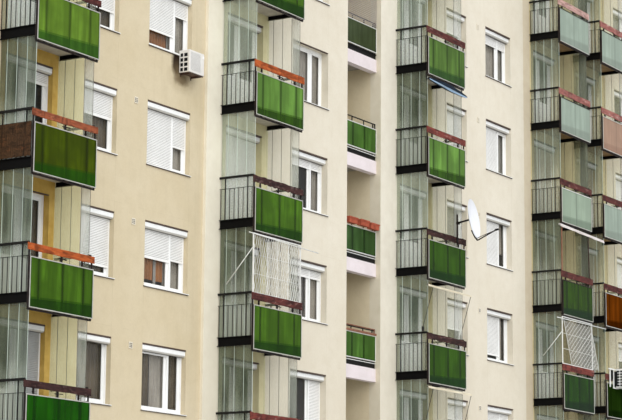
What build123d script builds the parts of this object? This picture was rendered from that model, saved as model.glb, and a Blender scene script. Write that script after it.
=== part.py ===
from build123d import *
import math
import os

os.makedirs("parts", exist_ok=True)

# ---------------------------------------------------------------------------
# Apartment block: a length of a long eight-storey slab block, three stair
# sections side by side, six bays of balconies and loggias on its front.
# Millimetres, +Z up, the front faces -Y. x runs along the front.
# While the pieces are set out, x = 0 is the left side of the second balcony
# column and y = 0 is the front face of the left section; at the end
# everything moves by SHIFT so that the origin lies in the middle of the base.
# ---------------------------------------------------------------------------

# storeys
STOREY = 2800.0          # floor to floor
N_STOREYS = 8            # ground floor and seven upper floors
PLINTH_H = 300.0         # ground to ground-floor level
SLAB_T = 180.0           # floor slabs
ROOF_T = 200.0           # roof slab
PARAPET_H = 550.0        # above the roof slab
COPING_T = 60.0

# block
X_LEFT = -8560.0         # left party wall, outer face
X_AB = -560.0            # joint between the left and the middle section
X_BC = 16215.0           # joint between the middle and the right section
X_RIGHT = 25300.0        # right party wall, outer face
STEP = 80.0              # the middle and right sections stand this far forward
DEPTH = 11000.0          # front face of the left section to the rear face
WALL_T = 250.0
GAP = 1.5                # joint between two pieces of one wall

# windows and balcony doors, heights above the floor
SILL = 876.0
HEAD = 2386.0
THRESHOLD = 30.0
RECESS = 180.0           # glass behind the wall face, left section and rear
RECESS_FWD = 235.0       # the same in the sections that stand forward
GLASS_T = 24.0

# balconies (outer width, depth of the steel, heights above the slab top)
BAL_W = 2100.0
BAL_D = 998.0
BEAM_H = 216.0
BEAM_B = 60.0
BAL_SLAB_T = 120.0
RAIL_TOP = 1043.0
RAIL_MID = 751.0
PANEL_TOP = 725.0
PANEL_BOTTOM = -328.0
BOARDS_Z = {"1": (850.0, 1005.0), "2": (835.0, 1016.0), "4": (835.0, 1016.0),
            "5": (808.0, 1005.0), "6": (808.0, 1005.0)}   # bottom and top of the handrail boards
SCREEN_T = 40.0
POSTS_X = (280.0, 1070.0, 1760.0)
BALCONIES = {"1": (-8110.0, 0.0), "2": (0.0, -STEP), "4": (8415.0, -STEP),
             "5": (16660.0, -STEP), "6": (19700.0, -STEP)}

# loggia column
LOG_X0, LOG_X1 = 5885.0, 7625.0
LOG_FACE = 55.0          # face of the fascia and of the parapet panel
LOG_BACK = 1170.0        # inner back wall, front face
LOG_WALL = 150.0

# rear
REAR_N = 11              # windows a storey
REAR_W = 1700.0
REAR_DOORS = (2, 8)      # bays with an entrance on the ground floor

SHIFT = (-(X_LEFT + X_RIGHT) / 2.0, -4383.6, 0.0)

Z_ROOF = PLINTH_H + N_STOREYS * STOREY
Z_TOP = Z_ROOF + PARAPET_H


def zf(i):
    """Floor level of storey i; the ground floor is 0."""
    return PLINTH_H + i * STOREY


def box(x0, x1, y0, y1, z0, z1):
    return Pos((x0 + x1) / 2, (y0 + y1) / 2, (z0 + z1) / 2) * Box(x1 - x0, y1 - y0, z1 - z0)


def fuse(parts):
    body = parts[0]
    for p in parts[1:]:
        body = body + p
    return body


nodes = {}


def add(name, shape):
    nodes.setdefault(name, []).append(shape)


def put(name, shape, x, y, z):
    """A copy of a shape, moved to (x, y, z)."""
    for s in shape.solids():
        add(name, s.moved(Location((x, y, z))))


# ---------------------------------------------------------------------------
# Base, floors and roof
# ---------------------------------------------------------------------------
PL = 30.0                # the plinth stands this far back from the wall face
add("plinth", box(X_LEFT, X_AB, PL, WALL_T, 0, PLINTH_H))
add("plinth", box(X_AB + 2, X_RIGHT, PL - STEP, WALL_T, 0, PLINTH_H))
add("plinth", box(X_LEFT, X_RIGHT, DEPTH - WALL_T, DEPTH - PL, 0, PLINTH_H))
add("plinth", box(X_LEFT, X_LEFT + WALL_T, WALL_T + 2, DEPTH - WALL_T - 2, 0, PLINTH_H))
add("plinth", box(X_RIGHT - WALL_T, X_RIGHT, WALL_T + 2, DEPTH - WALL_T - 2, 0, PLINTH_H))

xi0, xi1 = X_LEFT + WALL_T, X_RIGHT - WALL_T
yi0, yi1 = WALL_T, DEPTH - WALL_T
add("ground_slab", box(xi0, xi1, yi0, yi1, 0, PLINTH_H))
for i in range(1, N_STOREYS):
    add("floor_slabs", box(xi0, xi1, yi0, yi1, zf(i) - SLAB_T, zf(i)))
add("roof_slab", box(xi0, xi1, yi0, yi1, Z_ROOF - ROOF_T, Z_ROOF))

co = 30.0                # overhang of the coping
add("parapet_coping", box(X_LEFT, X_AB - 2, -co, WALL_T + co, Z_TOP, Z_TOP + COPING_T))
add("parapet_coping", box(X_AB, X_RIGHT, -STEP - co, WALL_T + co, Z_TOP, Z_TOP + COPING_T))
add("parapet_coping", box(X_LEFT, X_RIGHT, DEPTH - WALL_T - co, DEPTH + co, Z_TOP, Z_TOP + COPING_T))
add("parapet_coping", box(X_LEFT, X_LEFT + WALL_T + co, WALL_T + co + 2, DEPTH - WALL_T - co - 2, Z_TOP, Z_TOP + COPING_T))
add("parapet_coping", box(X_RIGHT - WALL_T - co, X_RIGHT, WALL_T + co + 2, DEPTH - WALL_T - co - 2, Z_TOP, Z_TOP + COPING_T))

# ---------------------------------------------------------------------------
# Outer walls: full-height piers between the window columns, and a spandrel
# under and over every opening. The openings are left free between them.
# ---------------------------------------------------------------------------
A_OPEN = [("door", -7860.0, -6285.0), ("win", -5180.0, -3980.0), ("win", -2825.0, -1127.0)]
B_OPEN = [("door", 250.0, 1825.0), ("win", 3210.0, 4910.0), ("loggia", LOG_X0, LOG_X1),
          ("door", 8665.0, 10240.0), ("win", 11350.0, 12550.0), ("win", 13745.0, 15365.0)]
C_OPEN = [("door", 16910.0, 18485.0), ("door", 19950.0, 21525.0), ("win", 22910.0, 24610.0)]
pitch = (X_RIGHT - X_LEFT) / REAR_N
REAR_OPEN = []
for j in range(REAR_N):
    cx = X_LEFT + pitch * (j + 0.5)
    REAR_OPEN.append(("entrance" if j in REAR_DOORS else "win", cx - REAR_W / 2, cx + REAR_W / 2))


def wall(name, x0, x1, y0, y1, openings):
    edges = [x0]
    for kind, a, b in openings:
        edges += [a, b]
    edges.append(x1)
    for p in range(0, len(edges), 2):
        add(name, box(edges[p], edges[p + 1], y0, y1, PLINTH_H, Z_TOP))
    for kind, a, b in openings:
        a, b = a + GAP, b - GAP
        if kind == "loggia":
            add(name, box(a, b, y0, y1, Z_ROOF + 14, Z_TOP))
            continue
        if kind != "entrance":
            add(name, box(a, b, y0, y1, PLINTH_H, zf(0) + SILL))
        for i in range(N_STOREYS):
            low = zf(i) + HEAD
            if i == N_STOREYS - 1:
                high = Z_TOP
            else:
                high = zf(i + 1) + (THRESHOLD if kind == "door" else SILL)
            add(name, box(a, b, y0, y1, low, high))


wall("front_wall_left", X_LEFT, X_AB, 0, WALL_T, A_OPEN)
wall("front_wall_middle", X_AB, X_BC, -STEP, WALL_T, B_OPEN)
wall("front_wall_right", X_BC, X_RIGHT, -STEP, WALL_T, C_OPEN)
wall("rear_wall", X_LEFT, X_RIGHT, DEPTH - WALL_T, DEPTH, REAR_OPEN)
add("party_wall_left", box(X_LEFT, X_LEFT + WALL_T, WALL_T, DEPTH - WALL_T, PLINTH_H, Z_TOP))
add("party_wall_right", box(X_RIGHT - WALL_T, X_RIGHT, WALL_T, DEPTH - WALL_T, PLINTH_H, Z_TOP))


def glaze(name, face, out, openings, recess):
    """One pane in each opening, recess behind the face; out is -1 at the front, 1 at the rear."""
    y = face - out * recess
    y0, y1 = min(y, y - out * GLASS_T), max(y, y - out * GLASS_T)
    for kind, a, b in openings:
        for i in range(N_STOREYS):
            if kind == "loggia":
                continue
            z0 = SILL
            if kind == "door" and i > 0:
                z0 = THRESHOLD
            if kind == "entrance" and i == 0:
                add("entrance_doors", box(a, b, y0, y1, zf(0), zf(0) + HEAD))
                continue
            add(name, box(a, b, y0, y1, zf(i) + z0, zf(i) + HEAD))


glaze("front_glazing", 0.0, -1, A_OPEN, RECESS)
glaze("front_glazing", -STEP, -1, B_OPEN, RECESS_FWD)
glaze("front_glazing", -STEP, -1, C_OPEN, RECESS_FWD)
glaze("rear_glazing", DEPTH, 1, REAR_OPEN, RECESS)

# ---------------------------------------------------------------------------
# Loggia column: side and back walls, edge beams, tinted panels, thin rails
# ---------------------------------------------------------------------------
door_a, door_b, door_h = 6300.0, 7200.0, 2100.0
rail = fuse([box(LOG_X0 + 8, LOG_X0 + 30, 84, 104, 12, 1010),
             box(LOG_X1 - 30, LOG_X1 - 8, 84, 104, 12, 1010),
             box(6400, 6422, 84, 104, 12, 1010),
             box(7004, 7026, 84, 104, 12, 1010),
             box(LOG_X0 + 2, LOG_X1 - 2, 82, 106, 1010, 1036),
             box(LOG_X0 + 8, LOG_X1 - 8, 84, 104, 150, 172)])
for i in range(N_STOREYS):
    z0 = zf(i)
    z1 = zf(i + 1) - (ROOF_T if i == N_STOREYS - 1 else SLAB_T)
    add("loggia_walls", box(LOG_X0 - LOG_WALL, LOG_X0, WALL_T, LOG_BACK + LOG_WALL, z0, z1))
    add("loggia_walls", box(LOG_X1, LOG_X1 + LOG_WALL, WALL_T, LOG_BACK + LOG_WALL, z0, z1))
    add("loggia_walls", box(LOG_X0 + GAP, door_a, LOG_BACK, LOG_BACK + LOG_WALL, z0, z1))
    add("loggia_walls", box(door_b, LOG_X1 - GAP, LOG_BACK, LOG_BACK + LOG_WALL, z0, z1))
    add("loggia_walls", box(door_a + GAP, door_b - GAP, LOG_BACK, LOG_BACK + LOG_WALL, z0 + door_h, z1))
    add("loggia_doors", box(door_a, door_b, LOG_BACK + 60, LOG_BACK + 60 + 40, z0, z0 + door_h))
    add("loggia_panels", box(LOG_X0, LOG_X1, LOG_FACE, LOG_FACE + 25, z0 + 197, z0 + 885))
    put("loggia_railings", rail, 0, 0, z0)
for i in range(1, N_STOREYS + 1):
    add("loggia_fascias", box(LOG_X0, LOG_X1, LOG_FACE, WALL_T, zf(i) - 337, zf(i) + 12))

# ---------------------------------------------------------------------------
# Balconies, set out from the left end of the steel at the wall face, z = 0
# at the top of the slab
# ---------------------------------------------------------------------------
# channel beam, open outwards, with its web on the slab's side
left_beam = fuse([box(BEAM_B - 8, BEAM_B, -BAL_D + 30, 0, -BEAM_H, 0),
                  box(0, BEAM_B, -BAL_D + 30, 0, -12, 0),
                  box(0, BEAM_B, -BAL_D + 30, 0, -BEAM_H, -BEAM_H + 12)])
right_beam = fuse([box(BAL_W - BEAM_B, BAL_W - BEAM_B + 8, -BAL_D + 30, 0, -BEAM_H, 0),
                   box(BAL_W - BEAM_B, BAL_W, -BAL_D + 30, 0, -12, 0),
                   box(BAL_W - BEAM_B, BAL_W, -BAL_D + 30, 0, -BEAM_H, -BEAM_H + 12)])
bal_slab = box(BEAM_B, BAL_W - BEAM_B, -BAL_D + 30, 0, -BAL_SLAB_T, 0)

# side railing: handrail, thin mid rail, two posts, thin bars below the mid rail
BAR_Y = (-36.0, -288.0, -416.0, -544.0, -672.0, -926.0)


def side_railing(x0, x1):
    """One side railing: x0 is its outer side, x1 its inner side."""
    bars = [box(x0 + 4, x1 - 4, -BAL_D + 30, 0, RAIL_TOP - 50, RAIL_TOP),
            box(x0 + 20, x1 - 22, -BAL_D + 30, 0, RAIL_MID - 12, RAIL_MID)]
    for y in (-160.0, -800.0):
        bars.append(box(x0 + 16, x1 - 18, y - 10, y + 10, 0, RAIL_TOP - 30))
    for y in BAR_Y:
        bars.append(box(x0 + 20, x1 - 22, y - 6, y + 6, 0, RAIL_MID - 6))
    return fuse(bars)


side_rail = side_railing(0, 54)
side_rail_right = side_railing(BAL_W - 54, BAL_W)

# front frame: posts on the slab edge that carry the panel and the board
yb0, yb1 = -BAL_D, -BAL_D + 28
front = [box(0, BAL_W, yb0, yb1, PANEL_BOTTOM - 45, PANEL_BOTTOM - 5),
         box(0, BAL_W, yb0, yb1, RAIL_TOP - 78, RAIL_TOP - 38),
         box(0, 30, yb0, yb1, PANEL_BOTTOM - 45, RAIL_TOP - 38),
         box(BAL_W - 30, BAL_W, yb0, yb1, PANEL_BOTTOM - 45, RAIL_TOP - 38)]
for x in POSTS_X:
    front.append(box(x - 17, x + 17, yb0, yb1, PANEL_BOTTOM - 45, RAIL_TOP - 40))
front_rail = fuse(front)
front_panel = box(0, BAL_W, -BAL_D - 42, -BAL_D, PANEL_BOTTOM, PANEL_TOP)

# side screens: upright glass channels between two balcony slabs
left_screen = box(BEAM_B + 2, BEAM_B + 2 + SCREEN_T, -BAL_D + 36, 0, 0, STOREY - BAL_SLAB_T)
right_screen = box(BAL_W - BEAM_B - 2 - SCREEN_T, BAL_W - BEAM_B - 2, -BAL_D + 36, 0, 0, STOREY - BAL_SLAB_T)

for col, (bx, by) in BALCONIES.items():
    board = box(-60, BAL_W + 40, -BAL_D - 30, -BAL_D, BOARDS_Z[col][0], BOARDS_Z[col][1])
    for i in range(1, N_STOREYS + 1):
        z = zf(i)
        put("balcony_slabs", bal_slab, bx, by, z)
        put("balcony_beams", left_beam, bx, by, z)
        put("balcony_beams", right_beam, bx, by, z)
        if i == N_STOREYS:
            continue         # the uppermost slab only covers the balcony below
        put("side_railings", side_rail, bx, by, z)
        put("side_railings", side_rail_right, bx, by, z)
        put("side_screens", left_screen, bx, by, z)
        put("side_screens", right_screen, bx, by, z)
        put("front_railings", front_rail, bx, by, z)
        put("parapet_panels_%s" % col, front_panel, bx, by, z)
        put("handrail_boards", board, bx, by, z)

# ---------------------------------------------------------------------------
# Fittings
# ---------------------------------------------------------------------------
for i in range(N_STOREYS):
    add("vent_grilles", box(-3350, -3210, -15, 0, zf(i) + 2200, zf(i) + 2350))
    add("vent_grilles", box(13190, 13330, -STEP - 15, -STEP, zf(i) + 2170, zf(i) + 2320))

# slatted infill on the side railing of the first column, one storey
bx, by = BALCONIES["1"]
add("side_infill", box(bx - 16, bx + 4, by - 950, by - 20, zf(4) + 10, zf(4) + 748))

# air conditioner under a window of the left section
za = zf(5)
unit = fillet(box(-1655, -1055, -325, -15, za + 453, za + 993).edges(), 18)
legs = [box(x, x + 30, -310, 0, za + 425, za + 456) for x in (-1575, -1165)]
legs += [box(x, x + 30, -12, 0, za + 380, za + 440) for x in (-1575, -1165)]
add("ac_unit_left", fuse([unit] + legs))

# air conditioner hung on the outside of the last balcony column
bx, by = BALCONIES["6"]
zr = zf(3)
yo = by - BAL_D - 42
unit = fillet(box(bx + 520, bx + 1280, yo - 330, yo - 50, zr + 600, zr + 1185).edges(), 18)
legs = [box(x, x + 30, yo - 320, yo - 2, zr + 572, zr + 602) for x in (bx + 600, bx + 1170)]
add("ac_unit_right", fuse([unit] + legs))

# satellite dish on a mast at the end of a handrail board
dish_r, dish_depth, dish_t = 550.0, 105.0, 6.0
f_len = dish_r ** 2 / (4 * dish_depth)
pts = [(dish_r * k / 6.0, (dish_r * k / 6.0) ** 2 / (4 * f_len)) for k in range(7)]
with BuildPart() as dish_bp:
    with BuildSketch(Plane.XZ):
        with BuildLine():
            l1 = Spline(*[(p[0], p[1]) for p in pts], tangents=[(1, 0), (2 * f_len, dish_r)])
            l2 = Line((dish_r, dish_depth), (dish_r, dish_depth + dish_t))
            l3 = Spline(*[(p[0], p[1] + dish_t) for p in reversed(pts)], tangents=[(-2 * f_len, -dish_r), (-1, 0)])
            l4 = Line((0, dish_t), (0, 0))
        make_face()
    revolve(axis=Axis.Z)
dn = Vector(0.2102, -0.967, 0.1441).normalized()
dish_at = Vector(10097, -1481, zf(4) + 1477)
dish_plane = Plane(origin=dish_at, x_dir=dn.cross(Vector(0, 0, 1)).normalized(), z_dir=dn)
for s in dish_bp.part.solids():
    add("satellite_dish", dish_plane.location * s)


def rod(p, q, r):
    """A straight round bar from p to q."""
    p, q = Vector(*p) if not isinstance(p, Vector) else p, Vector(*q) if not isinstance(q, Vector) else q
    d = q - p
    pl = Plane(origin=p, z_dir=d.normalized())
    return pl.location * Cylinder(r, d.length, align=(Align.CENTER, Align.CENTER, Align.MIN))


mx, my = 10010.0, -STEP - BAL_D - 46.0
mast = rod((mx, my, zf(4) + 790), (mx, my, zf(4) + 1630), 16)
back = dish_at - dn * 1.0
arm = rod((mx, my, zf(4) + 1396), back - dn * 4, 15)
clamp = box(mx - 30, mx + 30, my - 16, my + 16.0, zf(4) + 860, zf(4) + 960)
add("dish_mast", fuse([mast, arm, clamp]))

# arm with the receiver in front of the dish
down = dish_plane.y_dir if dish_plane.y_dir.Z < 0 else dish_plane.y_dir * -1
rim = dish_at + down * (dish_r - 6) + dn * (dish_depth + dish_t + 9)
lnb = dish_at + down * 420 + dn * 680
feed = fuse([rod(rim, lnb, 9), rod(lnb - dn * 40, lnb + dn * 60, 28)])
add("dish_feed", feed)

# rolled awning under the slab of the third column of balconies: the cloth is
# gathered thickly in the middle, its bar hangs lower at the right end
bx, by = BALCONIES["4"]
ay, az0, az1 = by - BAL_D - 60, zf(6) - 462, zf(6) - 556
a_l, a_r = Vector(bx - 40, ay, az0), Vector(bx + BAL_W + 60, ay, az1)
a_dir = (a_r - a_l).normalized()
half_len = (a_r - a_l).length / 2.0 - 60
a_mid = (a_l + a_r) * 0.5
cone_l = Plane(origin=a_l + a_dir * 60, z_dir=a_dir).location * Cone(26, 92, half_len, align=(Align.CENTER, Align.CENTER, Align.MIN))
cone_r = Plane(origin=a_mid, z_dir=a_dir).location * Cone(92, 26, half_len, align=(Align.CENTER, Align.CENTER, Align.MIN))
awn = fuse([rod(a_l, a_r, 17), cone_l, cone_r]
           + [part for x, zc in ((30, az0 - 4), (BAL_W - 58, az1 + 6))
              for part in (box(bx + x, bx + x + 28, ay, by - BAL_D + 58, zc - 12, zc + 12),
                           box(bx + x, bx + x + 28, by - BAL_D + 34, by - BAL_D + 58, zc - 12, zf(6) - BEAM_H))])
add("awning_roll", awn)

# white frames of the netting between board and slab, two balconies
for col in ("2", "5"):
    bx, by = BALCONIES[col]
    z = zf(3)
    y0, y1 = by - BAL_D, by - BAL_D + 24
    zt, zb = STOREY + PANEL_BOTTOM - 45, RAIL_TOP - 38
    add("net_frames", fuse([box(bx + 6, bx + 30, y0, y1, z + zb, z + zt),
                            box(bx + BAL_W - 30, bx + BAL_W - 6, y0, y1, z + zb, z + zt),
                            box(bx + 6, bx + BAL_W - 6, y0, y1, z + zb, z + zb + 24),
                            box(bx + 6, bx + BAL_W - 6, y0, y1, z + zt - 24, z + zt)]))

# ---------------------------------------------------------------------------
# Move to the part's own origin and write one file a node
# ---------------------------------------------------------------------------
move = Location(SHIFT)
lo = [1e9] * 3
hi = [-1e9] * 3
for name, shapes in nodes.items():
    solids = []
    for sh in shapes:
        for s in sh.solids():
            solids.append(s.moved(move))
    comp = Compound(solids)
    bb = comp.bounding_box()
    for a, (u, v) in enumerate(((bb.min.X, bb.max.X), (bb.min.Y, bb.max.Y), (bb.min.Z, bb.max.Z))):
        lo[a], hi[a] = min(lo[a], u), max(hi[a], v)
    export_step(comp, "parts/%s.step" % name)
    print("%-22s %4d solids %9.3f m3" % (name, len(solids), sum(s.volume for s in solids) / 1e9))
print("box", [round(v, 1) for v in lo], [round(v, 1) for v in hi], "nodes", len(nodes))
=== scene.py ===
import bpy, bmesh, math, random
from mathutils import Vector, Matrix, noise


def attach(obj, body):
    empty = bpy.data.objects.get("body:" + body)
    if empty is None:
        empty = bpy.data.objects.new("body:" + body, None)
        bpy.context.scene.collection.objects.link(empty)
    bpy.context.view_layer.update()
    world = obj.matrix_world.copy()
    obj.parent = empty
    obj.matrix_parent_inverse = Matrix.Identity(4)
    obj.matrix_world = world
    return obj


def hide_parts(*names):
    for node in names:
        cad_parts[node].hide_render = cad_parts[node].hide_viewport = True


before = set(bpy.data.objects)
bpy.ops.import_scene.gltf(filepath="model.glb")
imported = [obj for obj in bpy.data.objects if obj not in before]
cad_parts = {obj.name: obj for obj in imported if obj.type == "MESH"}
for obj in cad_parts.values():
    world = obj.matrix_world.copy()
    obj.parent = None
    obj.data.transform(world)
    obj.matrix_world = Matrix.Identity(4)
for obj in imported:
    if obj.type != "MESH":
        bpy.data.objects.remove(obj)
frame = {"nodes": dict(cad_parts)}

# ---------------------------------------------------------------- setting out
# x, y are set out as in the part's source, in metres; z counts from a storey.
SX, SY = -8.370, -4.3836
H = 2.8


def zf(i):
    return 0.3 + H * i


STEP = 0.08
A_OPEN = [("door", -7.860, -6.285), ("single", -5.180, -3.980), ("double", -2.825, -1.127)]
B_OPEN = [("door", 0.250, 1.825), ("double", 3.210, 4.910), ("door", 8.665, 10.240),
          ("single", 11.350, 12.550), ("double", 13.745, 15.365)]
C_OPEN = [("door", 16.910, 18.485), ("door", 19.950, 21.525), ("double", 22.910, 24.610)]
BALCONIES = {1: (-8.110, 0.0), 2: (0.0, -STEP), 4: (8.415, -STEP), 5: (16.660, -STEP), 6: (19.700, -STEP)}
BW, BD = 2.100, 0.998
SILL, HEAD = 0.876, 2.386


def srgb(r, g, b, k=1.0):
    out = []
    for v in (r, g, b):
        v = v / 255.0
        v = v / 12.92 if v <= 0.04045 else ((v + 0.055) / 1.055) ** 2.4
        out.append(min(1.0, v * k))
    return tuple(out) + (1.0,)


# ---------------------------------------------------------------- mesh maker
class Mesh:
    """Collects closed shapes in set-out coordinates and makes one object of them."""

    def __init__(self, name):
        self.name, self.v, self.f, self.m, self.s = name, [], [], [], []
        self.mi, self.smooth = 0, False

    def add(self, verts, faces, smooth=None):
        n = len(self.v)
        self.v += [(x + SX, y + SY, z) for x, y, z in verts]
        for f in faces:
            self.f.append(tuple(i + n for i in f))
            self.m.append(self.mi)
            self.s.append(self.smooth if smooth is None else smooth)

    def box(self, x0, x1, y0, y1, z0, z1, c=0.003, rot=None):
        x0, x1 = min(x0, x1), max(x0, x1)
        y0, y1 = min(y0, y1), max(y0, y1)
        z0, z1 = min(z0, z1), max(z0, z1)
        mid = ((x0 + x1) / 2, (y0 + y1) / 2, (z0 + z1) / 2)
        half = ((x1 - x0) / 2, (y1 - y0) / 2, (z1 - z0) / 2)
        c = min(c, min(half) * 0.45)
        vs, ids = [], {}
        for sx in (-1, 1):
            for sy in (-1, 1):
                for sz in (-1, 1):
                    s = (sx, sy, sz)
                    for a in range(3):
                        p = [s[k] * (half[k] - (0 if k == a else c)) for k in range(3)]
                        if rot is not None:
                            q = rot @ Vector(p)
                            p = [q.x, q.y, q.z]
                        ids[(s, a)] = len(vs)
                        vs.append((mid[0] + p[0], mid[1] + p[1], mid[2] + p[2]))
        fs = []
        for a in range(3):
            b, d = [k for k in range(3) if k != a]
            for sg in (-1, 1):
                loop = []
                for sb, sd in ((-1, -1), (1, -1), (1, 1), (-1, 1)):
                    s = [0, 0, 0]
                    s[a], s[b], s[d] = sg, sb, sd
                    loop.append(ids[(tuple(s), a)])
                fs.append(loop)
        for d in range(3):
            a, b = [k for k in range(3) if k != d]
            for sa in (-1, 1):
                for sb in (-1, 1):
                    s0, s1 = [0, 0, 0], [0, 0, 0]
                    s0[a], s0[b], s0[d] = sa, sb, -1
                    s1[a], s1[b], s1[d] = sa, sb, 1
                    fs.append([ids[(tuple(s0), a)], ids[(tuple(s1), a)], ids[(tuple(s1), b)], ids[(tuple(s0), b)]])
        for sx in (-1, 1):
            for sy in (-1, 1):
                for sz in (-1, 1):
                    s = (sx, sy, sz)
                    fs.append([ids[(s, 0)], ids[(s, 1)], ids[(s, 2)]])
        self.add(vs, fs)

    def prism_x(self, pts, x0, x1, smooth=False):
        """A closed outline of (y, z) points, drawn out from x0 to x1."""
        n = len(pts)
        vs = [(x0, y, z) for y, z in pts] + [(x1, y, z) for y, z in pts]
        fs = [list(range(n)), list(range(2 * n - 1, n - 1, -1))]
        self.add(vs, fs, False)
        vs2 = list(vs)
        self.add(vs2, [[k, (k + 1) % n, n + (k + 1) % n, n + k] for k in range(n)], smooth)

    def plate(self, pts, y0, y1):
        """A closed outline of (x, z) points, drawn out from y0 to y1."""
        n = len(pts)
        vs = [(x, y0, z) for x, z in pts] + [(x, y1, z) for x, z in pts]
        fs = [list(range(n)), list(range(2 * n - 1, n - 1, -1))]
        fs += [[k, (k + 1) % n, n + (k + 1) % n, n + k] for k in range(n)]
        self.add(vs, fs, False)

    def tube(self, pts, r, n=8, closed=False, cap=True):
        """A round bar along a line of points."""
        pts = [Vector(p) for p in pts]
        m = len(pts)
        rings = []
        up = None
        for k, p in enumerate(pts):
            if closed:
                t = (pts[(k + 1) % m] - pts[k - 1]).normalized()
            else:
                t = (pts[min(k + 1, m - 1)] - pts[max(k - 1, 0)]).normalized()
            if up is None:
                up = Vector((0, 0, 1)) if abs(t.z) < 0.9 else Vector((1, 0, 0))
            side = t.cross(up).normalized()
            up = side.cross(t).normalized()
            rr = r[k] if isinstance(r, (list, tuple)) else r
            rings.append([p + (side * math.cos(2 * math.pi * j / n) + up * math.sin(2 * math.pi * j / n)) * rr for j in range(n)])
        vs = [tuple(q) for ring in rings for q in ring]
        fs = []
        for k in range(m if closed else m - 1):
            a, b = k * n, ((k + 1) % m) * n
            for j in range(n):
                fs.append([a + j, a + (j + 1) % n, b + (j + 1) % n, b + j])
        self.add(vs, fs, True)
        if cap and not closed:
            n0 = len(vs)
            self.add([vs[j] for j in range(n)], [list(range(n))], False)
            self.add([vs[n0 - n + j] for j in range(n)], [list(range(n))], False)

    def grid(self, rows, smooth=True, wrap=False):
        """A surface through rows of points."""
        m, n = len(rows), len(rows[0])
        vs = [tuple(p) for row in rows for p in row]
        fs = []
        for a in range(m - 1):
            for b in range(n if wrap else n - 1):
                fs.append([a * n + b, a * n + (b + 1) % n, (a + 1) * n + (b + 1) % n, (a + 1) * n + b])
        self.add(vs, fs, smooth)

    def area(self):
        tot = 0.0
        for f in self.f:
            p = [Vector(self.v[i]) for i in f]
            for k in range(1, len(p) - 1):
                tot += (p[k] - p[0]).cross(p[k + 1] - p[0]).length / 2
        return tot

    def make(self, mats, slot=None, weld=True, fix=True):
        if not self.v:
            return None
        me = bpy.data.meshes.new(self.name)
        me.from_pydata(self.v, [], self.f)
        mats = mats if isinstance(mats, (list, tuple)) else [mats]
        for mt in mats:
            me.materials.append(mt)
        for k, p in enumerate(me.polygons):
            p.material_index = self.m[k]
            p.use_smooth = self.s[k]
        if fix:
            bm = bmesh.new()
            bm.from_mesh(me)
            if weld:
                bmesh.ops.remove_doubles(bm, verts=bm.verts, dist=0.00005)
            bmesh.ops.recalc_face_normals(bm, faces=bm.faces)
            bm.to_mesh(me)
            bm.free()
        me.update()
        o = bpy.data.objects.new(self.name, me)
        bpy.context.scene.collection.objects.link(o)
        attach(o, "root")
        return o


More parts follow.
